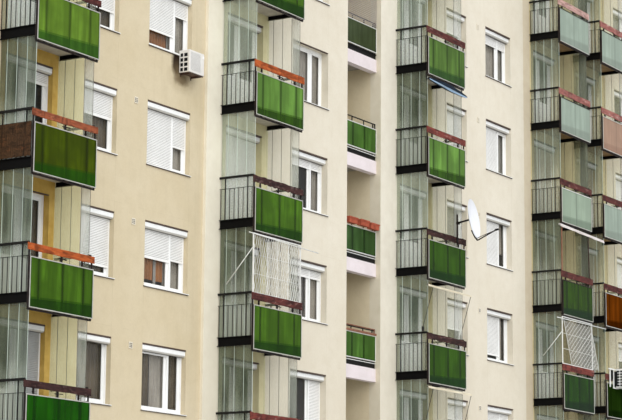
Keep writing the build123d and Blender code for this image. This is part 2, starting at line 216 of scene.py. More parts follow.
# ---------------------------------------------------------------- materials
class Nodes:
    def __init__(self, name):
        self.mat = bpy.data.materials.new(name)
        self.mat.use_nodes = True
        self.t = self.mat.node_tree
        self.t.nodes.clear()
        self.out = self.t.nodes.new("ShaderNodeOutputMaterial")
        self.p = self.t.nodes.new("ShaderNodeBsdfPrincipled")
        self.t.links.new(self.p.outputs[0], self.out.inputs[0])
        self.co = self.t.nodes.new("ShaderNodeTexCoord").outputs["Object"]

    def link(self, a, b):
        self.t.links.new(a, b)

    def mapping(self, scale=(1, 1, 1), loc=(0, 0, 0), src=None):
        n = self.t.nodes.new("ShaderNodeMapping")
        n.inputs["Scale"].default_value = scale
        n.inputs["Location"].default_value = loc
        self.link(src or self.co, n.inputs["Vector"])
        return n.outputs[0]

    def noise(self, scale, detail=4.0, rough=0.55, src=None, dist=0.0):
        n = self.t.nodes.new("ShaderNodeTexNoise")
        n.inputs["Scale"].default_value = scale
        n.inputs["Detail"].default_value = detail
        n.inputs["Roughness"].default_value = rough
        n.inputs["Distortion"].default_value = dist
        self.link(src or self.co, n.inputs["Vector"])
        return n.outputs["Fac"]

    def voronoi(self, scale, src=None, feature="F1", out="Distance"):
        n = self.t.nodes.new("ShaderNodeTexVoronoi")
        n.feature = feature
        n.inputs["Scale"].default_value = scale
        self.link(src or self.co, n.inputs["Vector"])
        return n.outputs[out]

    def wave(self, scale, src=None, direction="X", profile="SIN", dist=0.0):
        n = self.t.nodes.new("ShaderNodeTexWave")
        n.wave_type = "BANDS"
        n.bands_direction = direction
        n.wave_profile = profile
        n.inputs["Scale"].default_value = scale
        n.inputs["Distortion"].default_value = dist
        self.link(src or self.co, n.inputs["Vector"])
        return n.outputs["Fac"]

    def ramp(self, fac, stops, interp="LINEAR"):
        n = self.t.nodes.new("ShaderNodeValToRGB")
        n.color_ramp.interpolation = interp
        els = n.color_ramp.elements
        while len(els) < len(stops):
            els.new(0.5)
        for e, (pos, col) in zip(els, stops):
            e.position = pos
            e.color = col if hasattr(col, "__len__") else (col, col, col, 1)
        self.link(fac, n.inputs["Fac"])
        return n.outputs["Color"]

    def mix(self, fac, a, b, mode="MIX"):
        n = self.t.nodes.new("ShaderNodeMix")
        n.data_type = "RGBA"
        n.blend_type = mode
        n.clamp_factor = True
        if hasattr(fac, "is_linked") or hasattr(fac, "links"):
            self.link(fac, n.inputs["Factor"])
        else:
            n.inputs["Factor"].default_value = fac
        for val, name in ((a, 6), (b, 7)):
            if hasattr(val, "links"):
                self.link(val, n.inputs[name])
            else:
                n.inputs[name].default_value = val
        return n.outputs[2]

    def math(self, op, a, b=None, c=None):
        n = self.t.nodes.new("ShaderNodeMath")
        n.operation = op
        for k, val in enumerate((a, b, c)):
            if val is None:
                continue
            if hasattr(val, "links"):
                self.link(val, n.inputs[k])
            else:
                n.inputs[k].default_value = val
        return n.outputs[0]

    def xyz(self, src=None):
        n = self.t.nodes.new("ShaderNodeSeparateXYZ")
        self.link(src or self.co, n.inputs[0])
        return n.outputs

    def range(self, val, a, b, c, d):
        n = self.t.nodes.new("ShaderNodeMapRange")
        n.clamp = True
        for k, x in enumerate((a, b, c, d)):
            n.inputs[k + 1].default_value = x
        self.link(val, n.inputs[0])
        return n.outputs[0]

    def bump(self, height, strength=0.3, dist=0.002, prev=None):
        n = self.t.nodes.new("ShaderNodeBump")
        n.inputs["Strength"].default_value = strength
        n.inputs["Distance"].default_value = dist
        self.link(height, n.inputs["Height"])
        if prev is not None:
            self.link(prev, n.inputs["Normal"])
        return n.outputs[0]

    def done(self, color=None, rough=None, normal=None, metallic=None, alpha=None, spec=None, coat=None, **kw):
        p = self.p
        for name, val in (("Base Color", color), ("Roughness", rough), ("Normal", normal), ("Metallic", metallic),
                          ("Alpha", alpha), ("Specular IOR Level", spec), ("Coat Weight", coat)):
            if val is None:
                continue
            if hasattr(val, "links"):
                self.link(val, p.inputs[name])
            else:
                p.inputs[name].default_value = val
        for k, val in kw.items():
            p.inputs[k.replace("_", " ")].default_value = val
        return self.mat


def m_render(name, col, dark, stain, grime=0.35, special=None, blobs=None, low=0.0):
    """Trowelled mineral render: blotches, faint rain streaks, a fine grain."""
    n = Nodes(name)
    big = n.noise(0.55, 5, 0.6)
    mid = n.noise(3.2, 5, 0.6)
    base = n.mix(n.range(big, 0.36, 0.66, 0, 0.8), col, dark)
    base = n.mix(n.math("MULTIPLY", n.range(mid, 0.45, 0.75, 0, 1), 0.18), base, stain)
    streak = n.noise(1.0, 6, 0.65, src=n.mapping((4.0, 4.0, 0.16)))
    base = n.mix(n.math("MULTIPLY", n.range(streak, 0.54, 0.78, 0, 1), grime * 0.55), base, stain)
    fleck = n.noise(21.0, 5, 0.7)
    base = n.mix(n.range(fleck, 0.40, 0.72, 0, 0.16), base, stain)
    x, y, z = n.xyz()
    # faint horizontal joints of the wall units at every floor level
    fz = n.math("MODULO", n.math("ADD", z, -0.3 + 2.8), 2.8)
    line = n.math("LESS_THAN", n.math("ABSOLUTE", n.math("ADD", fz, -2.62)), 0.006)
    wob = n.range(n.noise(1.7, 3, 0.6), 0.5, 0.62, 0, 0.22)
    base = n.mix(n.math("MULTIPLY", line, wob), base, stain)
    for (xa, xb, ya, yb), c1, c2 in special or ():
        # another colour in one part of the wall: mostly another coat of paint, in some zones painted light and painted
        # shade
        m = n.math("MULTIPLY", n.math("GREATER_THAN", x, xa + SX), n.math("LESS_THAN", x, xb + SX))
        m = n.math("MULTIPLY", m, n.math("MULTIPLY", n.math("GREATER_THAN", y, ya + SY), n.math("LESS_THAN", y, yb + SY)))
        m = n.math("MULTIPLY", m, n.math("MULTIPLY", n.math("GREATER_THAN", z, 3.1), n.math("LESS_THAN", z, 22.58)))
        base = n.mix(m, base, n.mix(n.range(mid, 0.35, 0.7, 0, 1), c1, c2))
    if low:
        base = n.mix(n.range(z, 6.5, 12.5, low, 0), base, stain)
    for (bx_, bz_, rx, rz), c1, k in blobs or ():
        # soft dark blobs: painted shade, with some soot
        dx_ = n.math("MULTIPLY", n.math("ADD", x, -bx_ - SX), 1.0 / rx)
        dz_ = n.math("MULTIPLY", n.math("ADD", z, -bz_), 1.0 / rz)
        dd = n.math("SQRT", n.math("ADD", n.math("MULTIPLY", dx_, dx_), n.math("MULTIPLY", dz_, dz_)))
        dd = n.math("ADD", dd, n.range(n.noise(5.0, 4, 0.6), 0.3, 0.7, -0.12, 0.12))
        base = n.mix(n.range(dd, 0.45, 1.0, k, 0), base, c1)
    grain = n.noise(260, 3, 0.7)
    trowel = n.noise(14, 4, 0.6)
    nrm = n.bump(grain, 0.55, 0.0035)
    nrm = n.bump(trowel, 0.30, 0.005, nrm)
    return n.done(base, n.range(mid, 0.3, 0.7, 0.86, 0.97), nrm, spec=0.25)


def m_paint(name, col, worn, rough=0.5, wear=0.5, scale=9.0, bump=0.2, rust=None, spec=0.4):
    """Old brushed paint with duller and chipped spots."""
    n = Nodes(name)
    a = n.noise(scale, 6, 0.62)
    base = n.mix(n.range(a, 0.42, 0.70, 0, wear), col, worn)
    if rust is not None:
        r = n.noise(scale * 3.1, 8, 0.7)
        base = n.mix(n.range(r, 0.60, 0.70, 0, 0.8), base, rust)
    f = n.noise(scale * 14, 3, 0.6)
    nrm = n.bump(f, bump, 0.0015)
    return n.done(base, n.range(a, 0.3, 0.7, rough - 0.1, rough + 0.18), nrm, spec=spec)


def m_pvc(name, col, shade):
    n = Nodes(name)
    a = n.noise(2.3, 5, 0.6)
    d = n.noise(1.0, 5, 0.6, src=n.mapping((9, 9, 0.8)))
    base = n.mix(n.range(a, 0.4, 0.7, 0, 0.5), col, shade)
    base = n.mix(n.range(d, 0.55, 0.8, 0, 0.35), base, shade)
    nrm = n.bump(n.noise(45, 2, 0.5), 0.05, 0.001)
    return n.done(base, n.range(a, 0.3, 0.7, 0.32, 0.46), nrm, spec=0.5)


def m_concrete(name, col, dark, scale=3.0):
    n = Nodes(name)
    a = n.noise(scale, 7, 0.65)
    b = n.noise(scale * 9, 4, 0.6)
    base = n.mix(n.range(a, 0.35, 0.7, 0, 1), col, dark)
    base = n.mix(n.range(b, 0.55, 0.8, 0, 0.3), base, dark)
    pits = n.voronoi(70)
    nrm = n.bump(pits, 0.25, 0.003)
    nrm = n.bump(b, 0.3, 0.004, nrm)
    return n.done(base, 0.9, nrm, spec=0.2)


def m_wood(name, col, dark, pale, axis=0):
    """Old painted board: grain along x, blotches, cracks and peeling spots."""
    n = Nodes(name)
    g = n.noise(1.6, 7, 0.65, src=n.mapping((1.3, 26, 26)))
    base = n.mix(n.range(g, 0.35, 0.66, 0, 1), col, dark)
    deep = (dark[0] * 0.42, dark[1] * 0.42, dark[2] * 0.42, 1)
    blot = n.noise(1.0, 5, 0.65, src=n.mapping((3.4, 3.4, 10.0)))
    base = n.mix(n.range(blot, 0.47, 0.63, 0, 0.75), base, deep)
    w = n.noise(1.0, 7, 0.7, src=n.mapping((5.0, 5.0, 13.0)))
    base = n.mix(n.range(w, 0.56, 0.68, 0, 0.65), base, pale)
    c = n.noise(1.0, 5, 0.7, src=n.mapping((10.0, 10.0, 1.1)))
    base = n.mix(n.range(c, 0.56, 0.64, 0, 0.70), base, deep)
    nrm = n.bump(g, 0.5, 0.003)
    nrm = n.bump(w, 0.2, 0.002, nrm)
    return n.done(base, n.range(w, 0.3, 0.7, 0.62, 0.85), nrm, spec=0.12)


def m_glass_panel(name, col, deep, alpha, spec=0.05):
    """Tinted glass: soft upright streaks and clouds of a deeper tint."""
    n = Nodes(name)
    s = n.noise(1.0, 3, 0.55, src=n.mapping((4.4, 4.4, 0.45)))
    t = n.noise(1.3, 3, 0.5)
    u = n.noise(1.0, 2, 0.5, src=n.mapping((0.42, 0.42, 0.36)))
    v = n.noise(1.0, 2, 0.5, src=n.mapping((9.0, 9.0, 0.8)))
    base = n.mix(n.range(s, 0.38, 0.60, 0, 0.80), col, deep)
    base = n.mix(n.range(t, 0.42, 0.62, 0, 0.70), base, deep)
    base = n.mix(n.range(v, 0.52, 0.68, 0, 0.45), base, deep)
    base = n.mix(n.range(u, 0.42, 0.60, 0, 0.35), base, deep)
    nrm = n.bump(n.noise(30, 3, 0.5), 0.05, 0.002)
    return n.done(base, n.range(t, 0.3, 0.7, 0.14, 0.26), nrm, alpha=alpha, spec=spec)


M = {}
OCHRE = [((-8.02, -6.10, -0.30, 0.30), srgb(212, 176, 94), srgb(188, 150, 72)),
         ((-6.10, -5.21, -0.01, 0.30), srgb(220, 207, 162), srgb(210, 196, 150))]
# dark blobs on the wall by the left air conditioner: painted shade in the gap behind it and under it, with some soot
AC_SHADE_AND_SOOT = [((-1.735, zf(5) + 0.68, 0.22, 0.50), srgb(44, 30, 16), 1.0),
        ((-1.50, zf(5) + 0.34, 0.34, 0.20), srgb(84, 66, 42), 0.85),
        ((-1.52, zf(5) + 0.36, 0.62, 0.44), srgb(150, 130, 96), 0.35)]
M["left"] = m_render("render_left_wall", srgb(216, 202, 173), srgb(208, 192, 159), srgb(180, 163, 129), 0.40, OCHRE, AC_SHADE_AND_SOOT)
MIDDLE_WALL_PAINT_AND_LIGHT = [((5.87, 7.64, -0.078, 0.30), srgb(222, 214, 194), srgb(213, 204, 182)),
          # painted light: lighter patches on the wall left of balcony 2 and right of the loggia
          ((-2.0, 0.03, -0.30, 0.30), srgb(238, 231, 212), srgb(231, 223, 203)),
          ((7.64, 8.50, -0.30, 0.30), srgb(235, 228, 212), srgb(227, 219, 202)),
          # partly a yellower coat, partly painted shade: darker patches on the wall behind balconies 2 and 4
          ((0.10, 2.09, -0.30, 0.30), srgb(220, 212, 170), srgb(208, 199, 154)),
          ((8.52, 10.50, -0.30, 0.30), srgb(188, 179, 140), srgb(174, 164, 122))]
M["middle"] = m_render("render_middle_wall", srgb(228, 220, 203), srgb(220, 211, 192), srgb(197, 183, 157), 0.28, MIDDLE_WALL_PAINT_AND_LIGHT, None, 0.20)
YELLOW = [((16.66, 22.20, -0.30, 0.30), srgb(216, 200, 156), srgb(204, 186, 142)),
          ((16.04, 16.66, -0.30, 0.30), srgb(212, 199, 174), srgb(205, 190, 164))]
M["right"] = m_render("render_right_wall", srgb(220, 211, 191), srgb(212, 201, 177), srgb(185, 169, 139), 0.32, YELLOW, None, 0.30)
M["rear"] = m_render("render_rear_wall", srgb(218, 207, 184), srgb(208, 195, 170), srgb(178, 163, 134), 0.40)
M["party"] = m_render("render_party_wall", srgb(206, 195, 171), srgb(194, 181, 155), srgb(162, 149, 122), 0.55)
M["plinth"] = m_concrete("plinth_coat", srgb(150, 144, 134), srgb(112, 106, 98))
M["concrete"] = m_concrete("raw_concrete", srgb(168, 164, 156), srgb(138, 134, 126))
M["felt"] = m_concrete("roof_felt", srgb(96, 96, 98), srgb(66, 66, 68), 1.2)
M["coping"] = m_paint("coping_sheet", srgb(160, 160, 156), srgb(120, 118, 114), 0.45, 0.6, 4.0, 0.1)
M["fascia"] = m_concrete("fascia_coat", srgb(233, 222, 224), srgb(220, 209, 209), 2.0)
M["loggia"] = m_render("render_loggia", srgb(224, 212, 184), srgb(214, 200, 170), srgb(188, 172, 140), 0.3)
M["pvc"] = m_pvc("window_pvc", srgb(248, 248, 246), srgb(230, 229, 225))
# painted shade for the lower curve and the underside of the shutter boxes
M["pvc_shade"] = m_pvc("window_pvc_painted_shade", srgb(206, 203, 196), srgb(186, 182, 174))
M["pvc_dark"] = m_pvc("window_pvc_painted_deep_shade", srgb(104, 98, 92), srgb(84, 80, 76))
M["sill"] = m_pvc("sill_sheet", srgb(240, 240, 238), srgb(206, 204, 198))
M["brown_edge"] = m_paint("brown_edge", srgb(84, 66, 56), srgb(58, 46, 40), 0.6, 0.6, 9)
M["slats"] = m_pvc("shutter_slats", srgb(250, 249, 246), srgb(234, 232, 228))
# the slat gap colours are painted shade in the grooves between slats
M["slat_gap"] = m_pvc("shutter_slat_gap", srgb(176, 174, 170), srgb(158, 156, 150))
M["slats_beige"] = m_pvc("shutter_slats_beige", srgb(196, 184, 160), srgb(176, 164, 140))
M["slat_gap_beige"] = m_pvc("shutter_slat_gap_beige", srgb(104, 94, 78), srgb(88, 80, 66))
M["slats_grey"] = m_pvc("shutter_slats_grey", srgb(176, 178, 178), srgb(150, 152, 152))
M["black_steel"] = m_paint("black_steel", srgb(10, 10, 10), srgb(23, 21, 20), 0.66, 0.5, 9.0, 0.25, rust=srgb(40, 28, 23), spec=0.08)
M["rail_steel"] = m_paint("rail_steel", srgb(19, 19, 18), srgb(38, 35, 32), 0.58, 0.5, 12.0, 0.2, spec=0.15)
M["frame_steel"] = m_paint("frame_steel", srgb(28, 23, 22), srgb(58, 42, 36), 0.6, 0.6, 10.0, 0.2, spec=0.18)
M["alu"] = m_paint("panel_alu", srgb(186, 184, 176), srgb(146, 142, 134), 0.42, 0.6, 7.0, 0.08)
M["alu_white"] = m_paint("panel_alu_white", srgb(228, 228, 224), srgb(196, 194, 188), 0.4, 0.5, 7.0, 0.06)
M["white_steel"] = m_paint("white_steel", srgb(236, 236, 232), srgb(200, 198, 192), 0.45, 0.6, 10.0, 0.08)
M["dish"] = m_paint("dish_coat", srgb(234, 235, 239), srgb(214, 215, 219), 0.40, 0.5, 3.0, 0.05)
M["dish_steel"] = m_paint("dish_arm_steel", srgb(34, 32, 32), srgb(54, 50, 48), 0.5, 0.5, 14.0, 0.1, spec=0.2)
M["vent"] = m_pvc("vent_plastic", srgb(228, 219, 200), srgb(208, 197, 174))
M["vent_slot"] = m_pvc("vent_slots", srgb(84, 76, 64), srgb(66, 60, 50))
M["vent_slot_pale"] = m_pvc("vent_slots_pale", srgb(182, 170, 146), srgb(164, 152, 128))
M["dark"] = m_paint("painted_shade_dark", srgb(26, 26, 27), srgb(40, 40, 40), 0.7, 0.5, 8, spec=0.1)
M["ac"] = m_pvc("ac_housing", srgb(244, 243, 240), srgb(216, 214, 208))


def m_ac_left():
    """White housing; the wall irons under it are rusty brown."""
    n = Nodes("ac_housing_left")
    a = n.noise(2.3, 5, 0.6)
    base = n.mix(n.range(a, 0.4, 0.7, 0, 0.5), srgb(230, 226, 220), srgb(204, 200, 192))
    iron = n.mix(n.range(n.noise(24, 5, 0.6), 0.4, 0.7, 0, 1), srgb(92, 64, 52), srgb(60, 44, 38))
    base = n.mix(n.math("LESS_THAN", n.xyz()[2], zf(5) + 0.4545), base, iron)
    return n.done(base, n.range(a, 0.3, 0.7, 0.34, 0.48), n.bump(n.noise(45, 2, 0.5), 0.05, 0.001), spec=0.4)


M["ac_left"] = m_ac_left()


def m_slab():
    """Balcony slabs: pale paint below, browner on the right columns."""
    n = Nodes("balcony_slab_coat")
    a = n.noise(2.6, 6, 0.65)
    st = n.noise(0.9, 4, 0.6)
    pale = n.mix(n.range(a, 0.35, 0.7, 0, 1), srgb(206, 200, 186), srgb(176, 168, 152))
    brown = n.mix(n.range(a, 0.35, 0.7, 0, 1), srgb(168, 140, 104), srgb(128, 102, 72))
    x = n.xyz()[0]
    base = n.mix(n.math("GREATER_THAN", x, 16.0 + SX), pale, brown)
    base = n.mix(n.range(st, 0.5, 0.75, 0, 0.5), base, srgb(132, 118, 94))
    nrm = n.bump(n.noise(60, 4, 0.6), 0.3, 0.003)
    return n.done(base, 0.88, nrm, spec=0.2)


M["slab"] = m_slab()


def m_window_glass():
    n = Nodes("window_glass")
    a = n.noise(0.8, 3, 0.5)
    base = n.mix(n.range(a, 0.35, 0.7, 0, 1), srgb(74, 72, 68), srgb(48, 48, 47))
    nrm = n.bump(n.noise(1.4, 2, 0.5), 0.04, 0.01)
    return n.done(base, 0.04, nrm, alpha=0.20, spec=0.6)


M["glass"] = m_window_glass()


def m_screen_glass(name, c1, c2, alpha, spec, foot=None):
    """Upright glass of the side screens: clear with a streaky film of dust, lit more towards the floor."""
    n = Nodes(name)
    a = n.noise(1.0, 5, 0.6, src=n.mapping((2.2, 5.0, 0.5)))
    base = n.mix(n.range(a, 0.35, 0.7, 0, 1), c1, c2)
    if foot is not None:
        fz = n.math("MODULO", n.math("ADD", n.xyz()[2], -0.3), 2.8)
        fz = n.math("ADD", fz, n.range(a, 0.3, 0.7, -0.25, 0.25))
        base = n.mix(n.range(fz, 0.75, 1.45, 0.85, 0.0), base, foot)
    nrm = n.bump(n.noise(6, 2, 0.5), 0.03, 0.004)
    return n.done(base, n.range(a, 0.3, 0.7, 0.06, 0.14), nrm, alpha=alpha, spec=spec)


M["screen_l"] = m_screen_glass("screen_glass_near", srgb(146, 158, 142), srgb(92, 104, 88), 0.34, 0.35, srgb(190, 198, 184))
# a darker, denser near screen: dust on the glass, and painted shade of the balcony's inside seen through it
M["screen_ld"] = m_screen_glass("screen_glass_near_dust_and_shade", srgb(118, 128, 108), srgb(58, 66, 52), 0.54, 0.3, srgb(168, 176, 160))
M["screen_ll"] = m_screen_glass("screen_glass_near_pale", srgb(196, 206, 190), srgb(140, 152, 136), 0.34, 0.4, srgb(206, 214, 202))
M["screen_r"] = m_screen_glass("screen_glass_far", srgb(238, 240, 204), srgb(204, 208, 170), 0.22, 0.2)
M["screen_r2"] = m_screen_glass("screen_glass_far_clear", srgb(240, 240, 214), srgb(216, 217, 188), 0.12, 0.2)
M["screen_r5"] = m_screen_glass("screen_glass_far_dull", srgb(196, 196, 158), srgb(140, 142, 108), 0.36, 0.15)
M["screen_out"] = m_screen_glass("screen_glass_outer", srgb(236, 238, 226), srgb(176, 184, 170), 0.34, 0.35)
M["screen_out5"] = m_screen_glass("screen_glass_outer_dull", srgb(146, 152, 134), srgb(88, 94, 80), 0.60, 0.25)
M["screen_edge"] = m_pvc("screen_edge", srgb(202, 214, 204), srgb(160, 176, 166))
M["screen_joint"] = m_paint("screen_joint", srgb(84, 82, 68), srgb(62, 60, 50), 0.6, 0.5, 10)


def lin(c, k=1.0):
    c = srgb(*c)
    return tuple(min(1.0, v * k) for v in c[:3]) + (1.0,)


# seen colour of the pane, of its low band (painted shade of the slab edge behind) and of the post lines; share of light
# that is shut off
TINTS = {
    "bright": ((116, 158, 76), (58, 90, 28), 0.36, 0.93),
    "vivid": ((114, 148, 60), (64, 102, 38), 0.40, 0.93),
    "olive": ((78, 92, 12), (46, 84, 20), 0.55, 0.96),
    "mid": ((82, 116, 46), (44, 76, 26), 0.40, 0.94),
    "green": ((84, 120, 52), (46, 78, 32), 0.40, 0.94),
    "lime": ((100, 132, 66), (60, 92, 44), 0.44, 0.94),
    "shade": ((66, 98, 40), (38, 68, 28), 0.44, 0.95),
    "dusk": ((62, 88, 36), (34, 60, 30), 0.44, 0.96),
    "dim": ((50, 78, 28), (30, 54, 24), 0.44, 0.97),
    "deep": ((46, 92, 34), (28, 66, 26), 0.55, 0.95),
    "mint": ((154, 168, 153), (138, 150, 136), 0.84, 0.94),
    "mint2": ((152, 168, 147), (120, 136, 116), 0.62, 0.94),
    "salmon": ((166, 134, 112), (154, 120, 98), 0.84, 0.95),
    "orange": ((112, 57, 16), (72, 34, 8), 0.60, 0.99),
    "bottle": ((36, 58, 18), (24, 40, 14), 0.60, 0.99),
    "loggia": ((78, 106, 64), (56, 80, 48), 0.50, 0.95),
    "loggia_grey": ((82, 92, 66), (60, 74, 52), 0.60, 0.95),
    "loggia_bright": ((90, 126, 64), (58, 92, 44), 0.38, 0.94),
}
LIGHT = 0.98        # how bright a white pane comes out
GLASS = {}
for key, (c1, c2, kpost, al) in TINTS.items():
    pale = key in ("mint", "mint2", "salmon")
    sp = 0.10 if pale else 0.0 if key in ("orange", "bottle") else 0.03

    def tint(c, k, off=0.018):
        return tuple(max(0.0, (v - (0.002 if key in ("orange", "bottle") else off)) / LIGHT * k) for v in srgb(*c)[:3]) + (1.0,)
    dk = 0.84 if pale else 0.50
    mids = tuple((a_ + b_) // 2 for a_, b_ in zip(c1, c2))
    GLASS[key] = [m_glass_panel("panel_" + key, tint(c1, 1.12), tint(c1, dk), al, sp),
                  m_glass_panel("panel_%s_post" % key, tint(c1, kpost), tint(c1, kpost * dk), al, sp),
                  m_glass_panel("panel_%s_low" % key, tint(c2, 1.06, 0.008), tint(c2, dk, 0.008), al, sp),
                  m_glass_panel("panel_%s_low_post" % key, tint(c2, 0.8, 0.008), tint(c2, 0.8 * dk, 0.008), al, sp),
                  m_glass_panel("panel_%s_fade" % key, tint(mids, 1.0, 0.013), tint(mids, dk, 0.013), al, sp),
                  m_glass_panel("panel_%s_soft" % key, tint(c1, 0.92 if pale else 0.70), tint(c1, (0.92 if pale else 0.70) * dk), al, sp)]
BOARD = {
    "orange": m_wood("board_orange", srgb(196, 98, 46), srgb(140, 66, 32), srgb(206, 132, 88)),
    "rust": m_wood("board_rust", srgb(168, 92, 60), srgb(116, 62, 42), srgb(190, 128, 96)),
    "red": m_wood("board_red", srgb(136, 66, 56), srgb(92, 46, 42), srgb(190, 150, 140)),
    "darkred": m_wood("board_darkred", srgb(104, 52, 46), srgb(70, 38, 36), srgb(166, 128, 120)),
    "brown": m_wood("board_brown", srgb(76, 46, 42), srgb(44, 30, 30), srgb(142, 116, 110)),
    "pink": m_wood("board_pink", srgb(170, 110, 100), srgb(134, 80, 74), srgb(216, 192, 184)),
    "palepink": m_wood("board_palepink", srgb(206, 172, 162), srgb(168, 124, 116), srgb(230, 214, 206)),
}
M["terracotta"] = m_paint("terracotta", srgb(176, 90, 66), srgb(132, 64, 48), 0.8, 0.8, 9, 0.2, spec=0.15)
M["brownrail"] = m_paint("brown_rail", srgb(140, 92, 70), srgb(110, 70, 54), 0.6, 0.6, 12, 0.1)


def m_cloth(name, col, dark, alpha=None, weave=220, sheen=0.3):
    n = Nodes(name)
    a = n.noise(2.0, 5, 0.6)
    base = n.mix(n.range(a, 0.35, 0.7, 0, 1), col, dark)
    w1 = n.wave(weave, direction="X")
    w2 = n.wave(weave, direction="Z")
    nrm = n.bump(n.math("ADD", w1, w2), 0.15, 0.0008)
    kw = {"Sheen_Weight": sheen, "Sheen_Roughness": 0.5}
    return n.done(base, 0.85, nrm, alpha=alpha, spec=0.2, **kw)


M["lace"] = m_cloth("curtain_lace", srgb(232, 228, 218), srgb(192, 187, 174), alpha=0.72)
M["curtain"] = m_cloth("curtain_brown", srgb(204, 138, 78), srgb(150, 98, 54))
M["curtain_cream"] = m_cloth("curtain_cream", srgb(214, 206, 192), srgb(174, 166, 152))
M["curtain_umber"] = m_cloth("curtain_umber", srgb(136, 122, 98), srgb(92, 82, 64))
M["awning_blue"] = m_cloth("awning_blue", srgb(186, 212, 236), srgb(138, 178, 216))
M["awning_navy"] = m_cloth("awning_navy", srgb(16, 34, 50), srgb(8, 16, 26), sheen=0.0)
M["awning_white"] = m_cloth("awning_white", srgb(224, 216, 212), srgb(196, 184, 180))
M["awning_cream"] = m_cloth("awning_cream", srgb(226, 216, 190), srgb(198, 184, 156))

# ---------------------------------------------------------------- CAD nodes that stay
KEEP = {
    "plinth": M["plinth"], "ground_slab": M["concrete"], "floor_slabs": M["concrete"], "roof_slab": M["felt"],
    "parapet_coping": M["coping"], "front_wall_left": M["left"], "front_wall_middle": M["middle"],
    "front_wall_right": M["right"], "rear_wall": M["rear"], "party_wall_left": M["party"],
    "party_wall_right": M["party"], "front_glazing": M["glass"], "rear_glazing": M["glass"],
    "entrance_doors": M["glass"], "loggia_walls": M["loggia"], "loggia_fascias": M["fascia"],
    "loggia_railings": M["rail_steel"], "loggia_doors": M["pvc"],
    "balcony_slabs": M["slab"], "balcony_beams": M["black_steel"], "side_railings": M["rail_steel"],
    "front_railings": M["frame_steel"], "vent_grilles": M["vent"], "ac_unit_left": M["ac_left"],
    "ac_unit_right": M["ac"], "satellite_dish": M["dish"], "dish_mast": M["dish_steel"],
    "dish_feed": M["dish_steel"], "net_frames": M["white_steel"]}
for node, mt in KEEP.items():
    o = frame["nodes"].get(node) if isinstance(frame["nodes"], dict) else None
    o = o if hasattr(o, "data") else bpy.data.objects.get(node)
    if not o.data.materials:
        o.data.materials.append(mt)
    for sl in o.material_slots:
        sl.material = mt

# ---------------------------------------------------------------- windows
frames = Mesh("window_frames")
sills = Mesh("window_sills")
painted_shade_strips = Mesh("window_painted_shade_strips")
boxes = Mesh("shutter_boxes")
rails = Mesh("shutter_guides")
slats = {"white": Mesh("shutter_slats_white"), "beige": Mesh("shutter_slats_beige"), "grey": Mesh("shutter_slats_grey")}
lace = Mesh("lace_curtains")
brown = Mesh("brown_curtains")
cream = Mesh("cream_curtains")
umber = Mesh("umber_curtains")
handles = Mesh("window_handles")


def slat_sheet(mesh, xa, xb, Y, d, ztop, zbot, pitch=0.037):
    """Roller shutter slats; the grooves between them get the second material, a darker colour that paints their shade.
    """
    f0 = len(mesh.f)
    z = ztop
    prof = []
    q = pitch / 0.037
    while z > zbot + 0.045:
        prof += [(d + 0.008, z), (d - 0.001, z - 0.005 * q), (d - 0.005, z - 0.015 * q), (d - 0.005, z - 0.026 * q), (d + 0.001, z - 0.033 * q)]
        z -= pitch
    prof.append((d + 0.006, z))
    rows = [[(xa, Y(p[0]), p[1]) for p in prof], [(xb, Y(p[0]), p[1]) for p in prof]]
    mesh.grid(rows, smooth=False)
    for k in range(f0, len(mesh.f)):
        if (k - f0) % 5 == 4 or (k - f0) % 5 == 0:
            mesh.m[k] = 1
    mesh.box(xa, xb, Y(d - 0.008), Y(d + 0.010), zbot, z + 0.002, 0.004)


def curtain(mesh, xa, xb, Y, d, ztop, zbot, pitch=0.11, amp=0.020, seed=0):
    rng = random.Random(seed)
    n = max(8, int((xb - xa) / pitch * 8))
    ph = rng.random() * 6.28
    rows = []
    for r in range(7):
        t = r / 6.0
        z = ztop + (zbot - ztop) * t
        row = []
        for k in range(n + 1):
            x = xa + (xb - xa) * k / n
            a = amp * (0.5 + 0.5 * t) * (math.sin(2 * math.pi * (x - xa) / pitch + ph) + 0.35 * math.sin(2 * math.pi * (x - xa) / pitch * 0.43 + 1.7 * ph + 0.6 * t))
            row.append((x, Y(d + a), z))
        rows.append(row)
    mesh.grid(rows, smooth=True)


